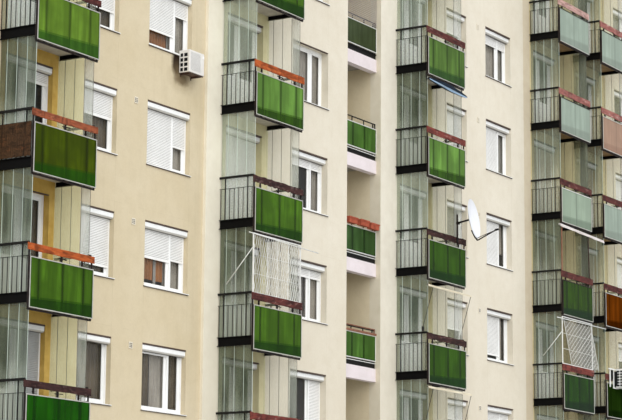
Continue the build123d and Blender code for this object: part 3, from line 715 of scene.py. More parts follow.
def unit(kind, x0, x1, i, face, out, rec, blinds=(0, 0), box=True, curt=None, slat="white", seed=0):
    """A window or balcony door unit in its opening; d is the depth behind the wall face, rec the pane's."""
    def Y(d):
        return face - out * d
    door = kind == "door" and i > 0
    base, top = zf(i), zf(i) + HEAD
    z0 = base + (0.030 if door else SILL)
    F, st = (0.074, 0.080) if kind == "door" else (0.062, 0.064)
    da, db = rec - 0.034, rec + 0.030
    w = x1 - x0
    mull = 0.078
    if kind == "double":
        cuts = [x0 + w * 0.672]
    elif kind == "door":
        cuts, mull = [x0 + 0.745], 0.10
    elif kind == "even":
        cuts = [x0 + w * 0.5]
    else:
        cuts = []
    frames.box(x0 + 0.002, x0 + F, Y(da), Y(db), z0, top)
    frames.box(x1 - F, x1 - 0.002, Y(da), Y(db), z0, top)
    frames.box(x0 + F, x1 - F, Y(da), Y(db), top - F, top - 0.002)
    frames.box(x0 + F, x1 - F, Y(da), Y(db), z0 + 0.002, z0 + F)
    edges = [x0 + F]
    for c in cuts:
        frames.box(c - mull / 2, c + mull / 2, Y(da), Y(db), z0 + F, top - F)
        edges += [c - mull / 2, c + mull / 2]
    edges.append(x1 - F)
    sa, sb = rec - 0.022, rec + 0.007
    for k in range(0, len(edges), 2):
        a, b = edges[k] - 0.006, edges[k + 1] + 0.006
        za, zb = z0 + F - 0.006, top - F + 0.006
        frames.box(a, a + st, Y(sa), Y(sb), za, zb, 0.005)
        frames.box(b - st, b, Y(sa), Y(sb), za, zb, 0.005)
        frames.box(a + st, b - st, Y(sa), Y(sb), zb - st, zb, 0.005)
        frames.box(a + st, b - st, Y(sa), Y(sb), za, za + st, 0.005)
        if door:
            # solid grooved lower panel with a cross rail above it
            frames.box(a + st, b - st, Y(sa), Y(sb), base + 0.86, base + 0.86 + st, 0.005)
            frames.box(a + st, b - st, Y(rec - 0.013), Y(rec - 0.001), za + st, base + 0.86, 0.002)
            g = a + st + 0.07
            while g < b - st - 0.02:
                frames.box(g, g + 0.006, Y(rec - 0.017), Y(rec - 0.012), za + st + 0.02, base + 0.84, 0.002)
                g += 0.075
        hx = a + st * 0.5 if k else b - st * 0.5
        hz = (za + zb) / 2 - 0.08
        handles.box(hx - 0.012, hx + 0.012, Y(sb), Y(sb + 0.008), hz - 0.03, hz + 0.03, 0.003)
    # sill sheet outside
    pr = 0.040 if out < 0 else 0.027
    if not door:
        zs = z0
        prof = [(Y(da - 0.001), zs + 0.022), (Y(6 * pr / 7 - pr * 1.714), zs + 0.010), (Y(-pr), zs + 0.006), (Y(-pr), zs - 0.008),
                (Y(-pr + 0.004), zs - 0.008), (Y(-pr + 0.006), zs + 0.003), (Y(da - 0.001), zs + 0.014)]
        sills.prism_x(prof, x0 - 0.025, x1 + 0.025)
        # painted shadow line: a dark strip under the sill's front lip
        painted_shade_strips.box(x0 - 0.022, x1 + 0.022, Y(-pr + 0.006), Y(0.0), zs - 0.020, zs - 0.009, 0.002)
    # painted shade: a dark strip under the lintel
    painted_shade_strips.box(x0 + 0.003, x1 - 0.003, Y(0.003), Y(0.060), top - (0.034 if box else 0.020), top - 0.002, 0.002)
    if box:
        fb = 0.020 if rec < 0.2 else 0.055
        db_ = da - 0.002 - fb
        zt = top - 0.036
        hb = 0.140
        shape = [(1.0, 0.0), (0.08, 0.0), (0.025, 0.004), (0.0, 0.014), (0.0, 0.084), (0.02, 0.100), (0.07, 0.115), (0.16, 0.127),
                 (0.30, 0.136), (0.50, hb), (1.0, hb)]
        zl = zt - hb
        prof = [(Y(fb + db_ * q), zt - v) for q, v in shape]
        f0 = len(boxes.f)
        boxes.prism_x(prof, x0 + 0.006, x1 - 0.006, smooth=False)
        # the box's lower curve gets painted shade, its underside a deeper painted shade
        for k, kind_ in ((5, 1), (6, 1), (7, 1), (8, 2), (9, 2)):
            boxes.m[f0 + 2 + k] = kind_
        ga, gb = rec - 0.060, da - 0.001
        for gx in [x0 + 0.004, x1 - 0.044]:
            rails.box(gx, gx + 0.040, Y(ga), Y(gb), z0 + 0.012, zl, 0.003)
        for c in cuts:
            rails.box(c - 0.026, c + 0.026, Y(ga), Y(gb), z0 + 0.012, zl, 0.003)
        ends = [x0 + 0.042] + [q for c in cuts for q in (c - 0.023, c + 0.023)] + [x1 - 0.042]
        for k in range(0, len(ends), 2):
            frac = blinds[min(k // 2, len(blinds) - 1)]
            if frac > 0:
                bot = zl - (zl - z0 - 0.014) * frac
                slat_sheet(slats[slat], ends[k], ends[k + 1], Y, rec - 0.050, zl + 0.006, bot, 0.052 if slat == "beige" else 0.037)
    if curt:
        for kind_c, a, b, tb in curt:
            msh = {"lace": lace, "brown": brown, "cream": cream, "umber": umber}[kind_c]
            curtain(msh, x0 + w * a, x0 + w * b, Y, rec + 0.078, top - 0.05, z0 + 0.04 + (top - z0) * tb, seed=seed,
                    pitch=0.10 if kind_c == "lace" else 0.13, amp=0.014 if kind_c == "lace" else 0.022)


rng = random.Random(11)
# what the photograph shows: (opening's left edge, storey) -> blinds of the two leaves, box, curtains, slats
SHOWN = {
    (-2.825, 5): ((0.69, 0.285), True, [("brown", 0.0, 0.60, 0.0), ("lace", 0.60, 0.72, 0.0), ("cream", 0.72, 1.0, 0.0)], "white"),
    (-2.825, 4): ((1.0, 0.545), True, [("cream", 0.55, 1.0, 0.0)], "white"),
    (-2.825, 3): ((0.50, 0.46), True, [("brown", 0.14, 0.40, 0.12), ("lace", 0.41, 0.46, 0.0), ("brown", 0.47, 0.60, 0.12), ("lace", 0.61, 0.70, 0.0), ("cream", 0.72, 1.0, 0.0)], "white"),
    (-2.825, 2): ((0.03, 0.0), True, [("umber", 0.0, 0.36, 0.0), ("cream", 0.36, 0.72, 0.0), ("umber", 0.74, 1.0, 0.0)], "white"),
    (-5.180, 5): ((0.66,), True, [("umber", 0.10, 0.98, 0.0)], "white"),
    (-5.180, 4): ((0.42,), True, [("umber", 0.10, 0.98, 0.0)], "white"),
    (-5.180, 3): ((0.83,), True, [("umber", 0.10, 0.98, 0.0)], "white"),
    (-5.180, 2): ((0.0,), True, [("umber", 0.10, 0.98, 0.0)], "white"),
    (3.210, 5): ((0.0, 0.0), False, [("cream", 0.0, 0.70, 0.0), ("cream", 0.78, 1.0, 0.0)], "white"),
    (3.210, 4): ((0.15, 0.15), True, [("lace", 0.0, 0.46, 0.1), ("cream", 0.84, 1.0, 0.0)], "white"),
    (3.210, 3): ((0.16, 0.16), True, [("lace", 0.0, 0.6, 0.0), ("cream", 0.64, 1.0, 0.0)], "white"),
    (3.210, 2): ((0.0, 1.0), True, None, "white"),
    (13.745, 6): ((0.20, 0.20), True, [("cream", 0.0, 0.72, 0.0), ("lace", 0.78, 1.0, 0.0)], "white"),
    (13.745, 5): ((1.0, 0.06), True, [("lace", 0.78, 1.0, 0.0)], "white"),
    (13.745, 4): ((1.0, 0.0), True, [("cream", 0.80, 0.955, 0.30), ("umber", 0.955, 1.0, 0.0)], "white"),
    (13.745, 3): ((0.86, 0.0), True, [("cream", 0.80, 0.93, 0.0)], "white"),
    (13.745, 2): ((0.3, 0.3), True, None, "white"),
    (11.350, 4): ((0.0,), True, [("lace", 0.0, 1.0, 0.0)], "white"),
    (11.350, 3): ((0.5,), True, None, "white"),
    (11.350, 5): ((1.0,), True, None, "white"),
    (11.350, 6): ((0.35,), True, None, "white"),
    (-7.860, 6): ((0.0, 0.0), True, [("lace", 0.0, 1.0, 0.0)], "white"),
    (-7.860, 5): ((0.0, 0.0), True, [("lace", 0.0, 0.4, 0.0)], "white"),
    (-7.860, 4): ((0.0, 0.12), True, [("lace", 0.0, 0.3, 0.0)], "white"),
    (-7.860, 3): ((0.0, 0.0), False, [("umber", 0.5, 1.0, 0.0)], "white"),
    (-7.860, 2): ((0.0, 0.86), True, None, "grey"),
    (0.250, 6): ((0.0, 0.0), True, [("lace", 0.0, 1.0, 0.0)], "white"),
    (0.250, 5): ((0.0, 0.0), True, [("lace", 0.1, 0.3, 0.0)], "white"),
    (0.250, 4): ((1.0, 1.0), True, None, "white"),
    (0.250, 3): ((0.0, 0.0), True, [("cream", 0.5, 1.0, 0.0)], "white"),
    (0.250, 2): ((0.0, 0.0), True, [("lace", 0.3, 0.6, 0.0)], "white"),
    (8.665, 5): ((0.0, 0.0), True, [("lace", 0.1, 0.5, 0.0)], "white"),
    (8.665, 4): ((0.0, 0.0), True, None, "white"),
    (8.665, 3): ((0.0, 0.0), True, None, "white"),
    (8.665, 2): ((0.0, 0.0), True, None, "white"),
    (16.910, 5): ((1.0, 1.0), True, None, "beige"),
    (16.910, 4): ((1.0, 1.0), True, None, "beige"),
    (16.910, 6): ((0.0, 0.0), True, [("lace", 0.0, 0.4, 0.0)], "white"),
    (16.910, 3): ((0.0, 0.0), True, None, "white"),
    (19.950, 6): ((0.0, 0.0), True, [("cream", 0.0, 1.0, 0.0)], "white"),
    (19.950, 5): ((0.5, 0.5), True, None, "beige"),
    (19.950, 4): ((1.0, 1.0), True, None, "beige"),
    (22.910, 5): ((1.0, 1.0), True, None, "white"),
    (22.910, 4): ((0.6, 0.6), True, None, "white"),
}
for face, opens, rec in ((0.0, A_OPEN, 0.180), (-STEP, B_OPEN, 0.235), (-STEP, C_OPEN, 0.235)):
    for kind, x0, x1 in opens:
        for i in range(8):
            key = (x0, i)
            if key in SHOWN:
                bl, bx_, cu, sl = SHOWN[key]
            else:
                bl = rng.choice([(0, 0), (0.3, 0.3), (0.6, 0.2), (1.0, 1.0), (0.0, 0.5), (0.15, 0.15)])
                if kind == "door":
                    bl = rng.choice([(0, 0), (0, 0), (0.3, 0.3), (1.0, 0.0)])
                bx_ = True
                cu = rng.choice([None, [("lace", 0.0, 1.0, 0.0)], [("brown", 0.0, 0.3, 0.0)], [("cream", 0.6, 1.0, 0.0)]])
                sl = "white"
            knd = kind if not (kind == "door" and i == 0) else "even"
            unit(knd, x0, x1, i, face, -1, rec, bl, bx_, cu, sl, seed=int(abs(x0) * 10) + i)

pitch = 33.86 / 11
for j in range(11):
    cx = -8.56 + pitch * (j + 0.5)
    for i in range(8):
        if i == 0 and j in (2, 8):
            continue
        bl = rng.choice([(0, 0), (0.3, 0.3), (0.6, 0.2), (1.0, 1.0), (0.0, 0.5), (0.15, 0.15)])
        cu = rng.choice([None, [("lace", 0.0, 1.0, 0.0)], [("brown", 0.0, 0.3, 0.0)], [("cream", 0.6, 1.0, 0.0)]])
        unit("double", cx - 0.85, cx + 0.85, i, 11.0, 1, 0.180, bl, True, cu, "white", seed=100 + j * 10 + i)

# entrance frames at the rear
ent = Mesh("entrance_frames")
for j in (2, 8):
    cx = -8.56 + pitch * (j + 0.5)
    a, b, z0, z1 = cx - 0.85, cx + 0.85, zf(0), zf(0) + HEAD
    ya, yb = 11.0 - 0.215, 11.0 - 0.150
    ent.box(a + 0.002, a + 0.07, ya, yb, z0, z1)
    ent.box(b - 0.07, b - 0.002, ya, yb, z0, z1)
    ent.box(a + 0.07, b - 0.07, ya, yb, z1 - 0.07, z1)
    ent.box(a + 0.07, b - 0.07, ya, yb, z0, z0 + 0.09)
    ent.box(cx + 0.16, cx + 0.25, ya, yb, z0, z1)
    ent.box(a + 0.07, b - 0.07, ya, yb, z0 + 2.02, z0 + 2.09)
    ent.box(a + 0.07, cx + 0.16, ya, yb, z0 + 0.09, z0 + 0.42)
    ent.tube([(cx + 0.10, yb + 0.05, z0 + 0.85), (cx + 0.10, yb + 0.05, z0 + 1.25)], 0.012, 10)
    for zz in (0.87, 1.23):
        ent.tube([(cx + 0.10, yb + 0.05, z0 + zz), (cx + 0.10, yb - 0.005, z0 + zz)], 0.009, 8)
ent.make(M["brown_edge"], "entrance_glass")

frames.make(M["pvc"], "white_paint")
handles.make(M["ac"], "white_paint")
sills.make(M["sill"], "white_paint")
painted_shade_strips.make(M["brown_edge"], "frame_paint")
boxes.make([M["pvc"], M["pvc_shade"], M["pvc_dark"]], "white_paint")
rails.make(M["pvc"], "white_paint")
slats["white"].make([M["slats"], M["slat_gap"]], "white_paint", fix=False)
slats["beige"].make([M["slats_beige"], M["slat_gap_beige"]], "board_paint", fix=False)
slats["grey"].make([M["slats_grey"], M["slat_gap"]], "white_paint", fix=False)
for msh, mt in ((lace, M["lace"]), (brown, M["curtain"]), (cream, M["curtain_cream"]),
                (umber, M["curtain_umber"])):
    if msh.v:
        area = msh.area()
        parts = max(1, int(math.ceil(area / 34.0)))
        # shared out over a few pieces, because one sheet can't be longer than 30 m
        nf = len(msh.f)
        step = int(math.ceil(nf / parts))
        for q in range(parts):
            sub = Mesh("%s_%d" % (msh.name, q + 1))
            sub.v, sub.f = msh.v, msh.f[q * step:(q + 1) * step]
            sub.m, sub.s = msh.m[q * step:(q + 1) * step], msh.s[q * step:(q + 1) * step]
            used = sorted({k for f in sub.f for k in f})
            new = {k: n_ for n_, k in enumerate(used)}
            sub.v = [msh.v[k] for k in used]
            sub.f = [tuple(new[k] for k in f) for f in sub.f]
            a_ = sub.area()
            o = sub.make(mt, "awning_cloth", weld=False, fix=False)

# ---------------------------------------------------------------- balconies
panel_frames = Mesh("panel_frames")
panel_glass = {k: Mesh("panel_glass_" + k) for k in GLASS if not k.startswith("loggia")}
board_mesh = {k: Mesh("boards_" + k) for k in BOARD}
brackets = Mesh("board_brackets")
screen_near = Mesh("screen_panes_left")
screen_dark = Mesh("screen_panes_left_dust_and_shade")
screen_pale = Mesh("screen_panes_left_pale")
screen_far = Mesh("screen_panes_right")
screen_far2 = Mesh("screen_panes_right_hazy")
screen_far5 = Mesh("screen_panes_right_dull")
screen_outer = Mesh("screen_panes_right_outer")
screen_outer5 = Mesh("screen_panes_right_outer_dull")
NEAR = {(1, 4): screen_dark, (1, 3): screen_dark, (1, 2): screen_dark, (2, 3): screen_dark, (2, 2): screen_dark, (4, 5): screen_dark,
        (2, 5): screen_pale, (2, 4): screen_pale, (4, 6): screen_pale, (4, 4): screen_pale, (5, 4): screen_dark}
panel_frames_white = Mesh("panel_frames_white")
screen_edges = Mesh("screen_edges")
screen_joints = Mesh("screen_joints")

PANEL = {
    1: {5: "vivid", 4: "olive", 3: "mid", 2: "deep", 6: "green", 7: "green", 1: "green"},
    2: {5: "bright", 4: "mid", 3: "mid", 2: "green", 6: "mid", 7: "green", 1: "green"},
    4: {6: "lime", 5: "bright", 4: "shade", 3: "shade", 2: "green", 7: "green", 1: "mid"},
    5: {7: "mint", 6: "mint", 5: "mint2", 4: "dusk", 3: "dim", 2: "mid", 1: "green"},
    6: {7: "mint", 6: "salmon", 5: "mint", 4: "orange", 3: "bottle", 2: "green", 1: "green"},
}
BOARDS = {
    1: {5: "darkred", 4: "rust", 3: "orange", 2: "brown", 6: "red", 7: "red", 1: "red"},
    2: {5: "orange", 4: "brown", 3: "darkred", 2: "red", 6: "red", 7: "red", 1: "red"},
    4: {6: "darkred", 5: "red", 4: "brown", 3: "brown", 2: "darkred", 7: "red", 1: "red"},
    5: {7: "palepink", 6: "pink", 5: "darkred", 4: "darkred", 3: "red", 2: "red", 1: "red"},
    6: {7: "pink", 6: "pink", 5: "darkred", 4: "darkred", 3: "darkred", 2: "red", 1: "red"},
}
STRIPS = (0.0, 0.180, 0.448, 0.717, 0.962)
BOARD_Z = {1: (0.853, 1.001), 2: (0.838, 1.012), 4: (0.838, 1.012), 5: (0.812, 1.001), 6: (0.812, 1.001)}
RAGGED = {(2, 4), (4, 3), (4, 4), (2, 2)}


DARK_FRAMES = {(5, 7), (5, 6), (5, 4), (6, 7)}
carriers = Mesh("panel_carriers")
panel_frames_dark = Mesh("panel_frames_dark")


def tinted(mesh, x0, x1, y0, y1, z0, z1, posts, zl, zr):
    """A tinted pane, darker where a post stands behind it, and darker below the line from zl to zr: painted shade of
    the slab edge behind.
    """
    cuts = [(x0, 5), (x0 + 0.035, 0)]
    for p in posts:
        cuts += [(p - 0.058, 5), (p - 0.023, 1), (p + 0.023, 5), (p + 0.058, 0)]
    cuts += [(x1 - 0.050, 5), (x1, None)]
    for (a, kind), (b, _) in zip(cuts, cuts[1:]):
        za = zl + (zr - zl) * (a - x0) / (x1 - x0)
        zb = zl + (zr - zl) * (b - x0) / (x1 - x0)
        e = 0.042 if kind != 1 and za - z0 > 0.08 else 0.0
        mesh.mi = kind
        mesh.plate([(a, za), (b, zb), (b, z1), (a, z1)], y0, y1)
        if e:
            mesh.mi = 4
            mesh.plate([(a, za - e), (b, zb - e), (b, zb), (a, za)], y0, y1)
        mesh.mi = 3 if kind == 1 else 2
        mesh.plate([(a, z0), (b, z0), (b, zb - e), (a, za - e)], y0, y1)
    mesh.mi = 0


for col, (bx, by) in BALCONIES.items():
    for i in range(1, 8):
        z = zf(i)
        yo = by - BD - 0.042          # outer face of the panel
        z0, z1 = z - 0.328, z + 0.725
        # thin pale face frame with a dark carrier behind it
        fw = 0.021
        side_f = panel_frames_dark if (col, i) in DARK_FRAMES else panel_frames
        top_f = panel_frames_white if (col, i) == (5, 5) else side_f
        for fr, (xa, xb, za, zb) in ((side_f, (bx, bx + fw, z0, z1)), (panel_frames if col == 5 else side_f, (bx + BW - fw, bx + BW, z0, z1)),
                                     (top_f, (bx + fw, bx + BW - fw, z1 - fw, z1)), (panel_frames, (bx + fw, bx + BW - fw, z0, z0 + fw))):
            fr.box(xa, xb, yo, yo + 0.011, za, zb, 0.003)
            carriers.box(xa, xb, yo + 0.0112, by - BD, za, zb, 0.003)
        rg = random.Random(col * 31 + i)
        kind = PANEL[col][i]
        pale = kind in ("mint", "mint2", "salmon")
        posts = [bx + 1.020] if pale else [bx + 0.285, bx + 1.070, bx + 1.765]
        zl = z - 0.115 + rg.uniform(-0.01, 0.03)
        tinted(panel_glass[kind], bx + fw - 0.003, bx + BW - fw + 0.003, yo + 0.012, yo + 0.020, z0 + fw - 0.003, z1 - fw + 0.003,
               posts, zl, zl + 0.09 + rg.uniform(-0.02, 0.02))
        # board, slightly bowed, some of them chipped and frayed along their edges
        bm_ = board_mesh[BOARDS[col][i]]
        ragged = (col, i) in RAGGED
        n = 44 if ragged else 22
        rows = []
        lo_, hi_ = BOARD_Z[col]
        for k in range(n + 1):
            x = bx - 0.058 + (BW + 0.096) * k / n
            dz = 0.003 * math.sin(k * 0.9 + col) + (rg.uniform(-0.016, 0.020) if ragged else rg.uniform(-0.002, 0.002))
            dt = (rg.uniform(-0.022, 0.004) if ragged else rg.uniform(-0.002, 0.002))
            dy = 0.002 * math.sin(k * 0.5 + i)
            zb_, zt_ = z + lo_ + dz, z + hi_ + dt
            ya, yb = by - BD - 0.027 + dy, by - BD - 0.003 + dy
            rows.append([(x, ya, zb_ + 0.003), (x, ya + 0.003, zb_), (x, yb, zb_), (x, yb, zt_), (x, ya + 0.004, zt_), (x, ya, zt_ - 0.004)])
        bm_.grid(rows, smooth=False, wrap=True)
        bm_.add(rows[0], [list(range(6))])
        bm_.add(rows[-1], [list(range(6))])
        # clamps between panel and board
        for px in (0.280, 1.070, 1.760):
            brackets.box(bx + px - 0.022, bx + px + 0.022, by - BD - 0.004, by - BD + 0.034, z + 0.770, z + 0.800, 0.003)
        brackets.box(bx + 0.98, bx + 1.24, by - BD - 0.002, by - BD + 0.030, z + 0.800, z + 0.818, 0.003,
                     rot=Matrix.Rotation(0.05 * (1 if i % 2 else -1), 3, "Y"))
        # side screens: four panes each, bright cut edges, dark putty joints
        for side, xs in (("l", bx + 0.078), ("r", bx + BW - 0.086)):
            ztop = z + 2.8 - (0.120 if side == "l" else 0.218)
            for k in range(4):
                if side == "l":
                    pane = NEAR.get((col, i), screen_near)
                elif k == 3:
                    pane = screen_outer5 if col == 5 else screen_outer
                else:
                    pane = screen_far5 if col == 5 else screen_far2 if col == 2 else screen_far
                y1_, y0_ = by - STRIPS[k] - 0.003, by - STRIPS[k + 1] + 0.003
                pane.box(xs, xs + 0.008, y0_, y1_, z + 0.012, ztop - 0.003, 0.001)
            for k in range(1, 5):
                ye = by - STRIPS[k]
                if side == "l":
                    screen_edges.box(xs - 0.002, xs + 0.010, ye - (0.005 if k < 4 else 0.0), ye + 0.005, z + 0.006, ztop - 0.002, 0.002)
                else:
                    screen_joints.box(xs - 0.002, xs + 0.010, ye - (0.004 if k < 4 else 0.0), ye + 0.004, z + 0.006, ztop - 0.002, 0.002)
            screen_joints.box(xs - 0.006, xs + 0.014, by - 0.962, by - 0.002, z + 0.001, z + 0.012, 0.002)
            screen_joints.box(xs - 0.006, xs + 0.014, by - 0.962, by - 0.002, ztop - 0.012, ztop - 0.001, 0.002)

pf = panel_frames.make(M["alu"], "frame_paint")
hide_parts("parapet_panels_1", "parapet_panels_2", "parapet_panels_4", "parapet_panels_5", "parapet_panels_6")
panel_frames_white.make(M["alu_white"], "frame_paint")
panel_frames_dark.make(M["frame_steel"], "frame_paint")
carriers.make(M["frame_steel"], "frame_paint")
for k, msh in panel_glass.items():
    o = msh.make(GLASS[k], "panel_glass_5" if k in ("mint", "mint2") else "panel_glass_6" if k in ("salmon", "orange") else "panel_glass_1")
first = True
for k, msh in board_mesh.items():
    o = msh.make(BOARD[k], "board_paint")
    if o is not None and first:
        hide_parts("handrail_boards")
        first = False
brackets.make(M["frame_steel"], "frame_paint")
o = screen_near.make(M["screen_l"], "screen_glass")
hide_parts("side_screens")
screen_far.make(M["screen_r"], "screen_glass")
screen_outer.make(M["screen_out"], "screen_glass")
screen_dark.make(M["screen_ld"], "screen_glass")
screen_pale.make(M["screen_ll"], "screen_glass")
screen_far2.make(M["screen_r2"], "screen_glass")
screen_far5.make(M["screen_r5"], "screen_glass")
screen_outer5.make(M["screen_out5"], "screen_glass")
screen_edges.make(M["screen_edge"], "screen_glass")
screen_joints.make(M["screen_joint"], "frame_paint")

# slatted infill on one side railing
inf = Mesh("side_infill_slats")
bx, by = BALCONIES[1]
y = by - 0.950
k = 0
while y < by - 0.03:
    inf.box(bx - 0.014, bx + 0.002, y, y + 0.054, zf(4) + 0.012 + 0.004 * (k % 2), zf(4) + 0.742 - 0.006 * ((k * 7) % 3), 0.003)
    y += 0.0585
    k += 1
inf.box(bx + 0.001, bx + 0.012, by - 0.945, by - 0.03, zf(4) + 0.12, zf(4) + 0.17, 0.002)
inf.box(bx + 0.001, bx + 0.012, by - 0.945, by - 0.03, zf(4) + 0.60, zf(4) + 0.65, 0.002)
M["infill"] = m_wood("infill_wood", srgb(84, 58, 36), srgb(52, 38, 26), srgb(116, 72, 44))
o = inf.make(M["infill"], "infill_slats")
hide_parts("side_infill")

# ---------------------------------------------------------------- loggias
lf = Mesh("loggia_panel_frames")
lg = Mesh("loggia_panel_glass")
lg2 = Mesh("loggia_panel_glass_bright")
lg6 = Mesh("loggia_panel_glass_dusty")
lr = Mesh("loggia_fittings")
LX0, LX1 = 5.885, 7.625
for i in range(8):
    z = zf(i)
    z0, z1 = z + 0.197, z + 0.885
    lf.box(LX0 + 0.002, LX1 - 0.002, 0.050, 0.082, z1 - 0.022, z1, 0.004)
    lf.box(LX0 + 0.002, LX1 - 0.002, 0.050, 0.082, z0, z0 + 0.024, 0.004)
    lf.box(LX0 + 0.002, LX0 + 0.020, 0.052, 0.080, z0 + 0.024, z1 - 0.022, 0.003)
    lf.box(LX1 - 0.020, LX1 - 0.002, 0.052, 0.080, z0 + 0.024, z1 - 0.022, 0.003)
    tinted(lg2 if i in (3, 5, 1) else lg6 if i == 6 else lg, LX0 + 0.018, LX1 - 0.018, 0.062, 0.070, z0 + 0.022, z1 - 0.020,
           [] if i == 6 else [6.411, 7.015], z0 + 0.03, z0 + 0.05)
    for px in (6.411, 7.015, 7.49):
        lr.box(px - 0.012, px + 0.012, 0.083, 0.107, z + 0.012, z + 1.012, 0.002)
    # a dark plate across the gap under the glass: painted shade of the dark space behind it
    lr.box(LX0 + 0.004, LX1 - 0.004, 0.084, 0.108, z + 0.014, z + 0.192, 0.002)
    (lr if i == 6 else lf).box(LX0 + 0.004, LX1 - 0.004, 0.058, 0.078, z + 0.138, z + 0.156, 0.002)
o = lf.make(M["alu_white"], "frame_paint")
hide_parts("loggia_panels")
lg.make(GLASS["loggia"], "loggia_glass")
lg2.make(GLASS["loggia_bright"], "loggia_glass")
lg6.make(GLASS["loggia_grey"], "loggia_glass")
lr.make(M["rail_steel"], "railing_paint")

fit_brown = Mesh("loggia_brown_rail")
z = zf(3)
fit_brown.box(LX0 + 0.002, LX1 - 0.06, 0.040, 0.072, z + 1.034, z + 1.060, 0.004)
fit_brown.box(LX1 - 0.10, LX1 - 0.078, 0.044, 0.068, z + 0.930, z + 1.036, 0.003)
fit_brown.box(LX0 + 0.002, LX1 - 0.002, 0.028, 0.048, z + 0.886, z + 0.944, 0.004)
fit_brown.make(M["brownrail"], "board_paint")

# clay boxes hung on one loggia's parapet, empty
pots = Mesh("clay_boxes")
soil = Mesh("clay_box_soil")
z = zf(4)
for px, dz in ((6.00, 0.0), (6.60, 0.010), (7.12, -0.006)):
    a, b, w2 = px, px + 0.42, 0.080
    yc = -0.02
    for (za, zb_, e) in ((0.905, 1.035, 0.0), (1.025, 1.062, 0.012)):
        za, zb_ = za + dz, zb_ + dz
        prof = [(yc - w2 + 0.016 * (1 if e == 0 else 0) - e, z + za), (yc + w2 - 0.016 * (1 if e == 0 else 0) + e, z + za),
                (yc + w2 + e, z + zb_), (yc - w2 - e, z + zb_)]
        pots.prism_x(prof, a - e, b + e)
    soil.box(a + 0.012, b - 0.012, yc - w2 + 0.010, yc + w2 - 0.010, z + 1.056 + dz, z + 1.066 + dz, 0.003)
pots.make(M["terracotta"], "board_paint")
M["soil"] = m_concrete("potting_soil", srgb(74, 60, 48), srgb(48, 38, 30), 9.0)
soil.make(M["soil"], "concrete")

# ---------------------------------------------------------------- netting, arms and awnings
net = Mesh("netting_cord")


def lattice(mesh, x0, x1, z0, z1, y, px, pz, r=0.0028, ramp=None, vary=0.006):
    """A diamond net of thin cords, drawn as bars of four sides."""
    nx, nz = int((x1 - x0) / px), int((z1 - z0) / pz)
    for a in range(nx + 1):
        for s in (-1, 1):
            pts = []
            for b in range(nz + 1):
                x = x0 + a * px + (px * 0.5 * s if b % 2 else 0)
                x = min(max(x, x0), x1)
                zz = z0 + b * pz
                if ramp is not None:
                    x, zz = ramp(x, zz)
                wob = vary * math.sin(a * 1.7 + b * 2.3)
                pts.append((x + wob, y + 0.003 * math.sin(a + b), zz))
            mesh.tube(pts, r, 4, cap=False)


M["net_grey5"] = m_paint("net_cord_grey", srgb(186, 184, 178), srgb(150, 148, 142), 0.7, 0.6, 12, 0.1, spec=0.1)
wz = Mesh("net_poles")
bx, by = BALCONIES[2]
z = zf(3)
lattice(net, bx + 0.04, bx + 2.04, z + 1.03, z + 2.40, -1.066, 0.100, 0.150, 0.0052, vary=0.018)
for px in (0.62, 1.04, 1.52):
    net.tube([(bx + px, -1.072, z + 1.03), (bx + px + 0.02, -1.072, z + 2.40)], 0.0075, 6, cap=False)
wz.tube([(bx - 0.215, -1.10, z + 2.405), (bx + 2.85, -1.10, z + 2.335)], 0.012, 8)
wz.tube([(bx + 0.02, -1.10, z + 2.14), (bx + 0.02, -0.31, z + 1.25)], 0.011, 8)
for hz in (1.46, 1.92):
    wz.tube([(bx + 0.03, -1.085, z + hz), (bx + 2.06, -1.085, z + hz - 0.01)], 0.006, 6)
bx, by = BALCONIES[5]


def drift(x, zz):
    t = (zf(3) + 2.36 - zz) / 1.3
    return x + 0.53 * max(0.0, t), zz


net5 = Mesh("netting_cord_grey")
lattice(net5, bx + 0.10, bx + 2.00, z + 1.04, z + 2.36, -1.064, 0.070, 0.075, 0.0052, ramp=drift, vary=0.014)
for q in range(19):
    # the net's pale knots line up slantwise
    pts = []
    for t in range(15):
        zz = z + 1.05 + 1.30 * t / 14.0
        x = bx - 1.10 + 0.215 * q + 1.30 * (zz - z - 1.05) + 0.010 * math.sin(q * 2.1 + t)
        left = drift(bx + 0.10, zz)[0]
        if left <= x <= left + 1.90:
            pts.append((x, -1.070 + 0.002 * math.sin(q + t), zz))
    if len(pts) > 1:
        net.tube(pts, 0.0062, 5, cap=False)
for side in (0.10, 2.00):
    net.tube([(drift(bx + side, z + 1.04 + 0.11 * t)[0], -1.070, z + 1.04 + 0.11 * t) for t in range(13)], 0.008, 5, cap=False)
net5.make(M["net_grey5"], "white_paint", weld=False, fix=False)
wz.tube([(bx - 0.39, -1.10, z + 2.345), (bx + 3.04, -1.10, z + 2.375)], 0.014, 8)
wz.tube([(bx + 0.02, -1.09, z + 2.01), (bx + 0.02, -0.43, z + 1.28)], 0.012, 8)
wz.tube([(bx + 1.95, -1.09, z + 2.10), (bx + 1.20, -0.9, z + 1.32)], 0.009, 8)
for hz in (1.46, 1.92):
    wz.tube([(bx + 0.03, -1.085, z + hz), (bx + 2.06, -1.085, z + hz - 0.01)], 0.006, 6)
net.make(M["white_steel"], "white_paint", weld=False, fix=False)

# netting on one loggia
ln = Mesh("loggia_netting")
z = zf(6)
k = 0
while z + 0.93 + 0.052 * k < z + 2.45:
    zz = z + 0.93 + 0.052 * k
    ln.tube([(LX0 + 0.015, 0.045, zz), ((LX0 + LX1) / 2, 0.043 + 0.002 * math.sin(k), zz - 0.003), (LX1 - 0.015, 0.045, zz)], 0.0062, 5)
    k += 1
for k in range(25):
    xx = LX0 + 0.03 + 0.070 * k
    ln.tube([(xx, 0.049, z + 0.91), (xx + 0.003 * math.sin(k), 0.049, z + 2.44)], 0.0032, 5)
M["net_grey"] = m_paint("net_grey", srgb(192, 184, 178), srgb(176, 166, 162), 0.6, 0.6, 12, 0.1, spec=0.2)
ln.make(M["net_grey"], "white_paint", weld=False, fix=False)


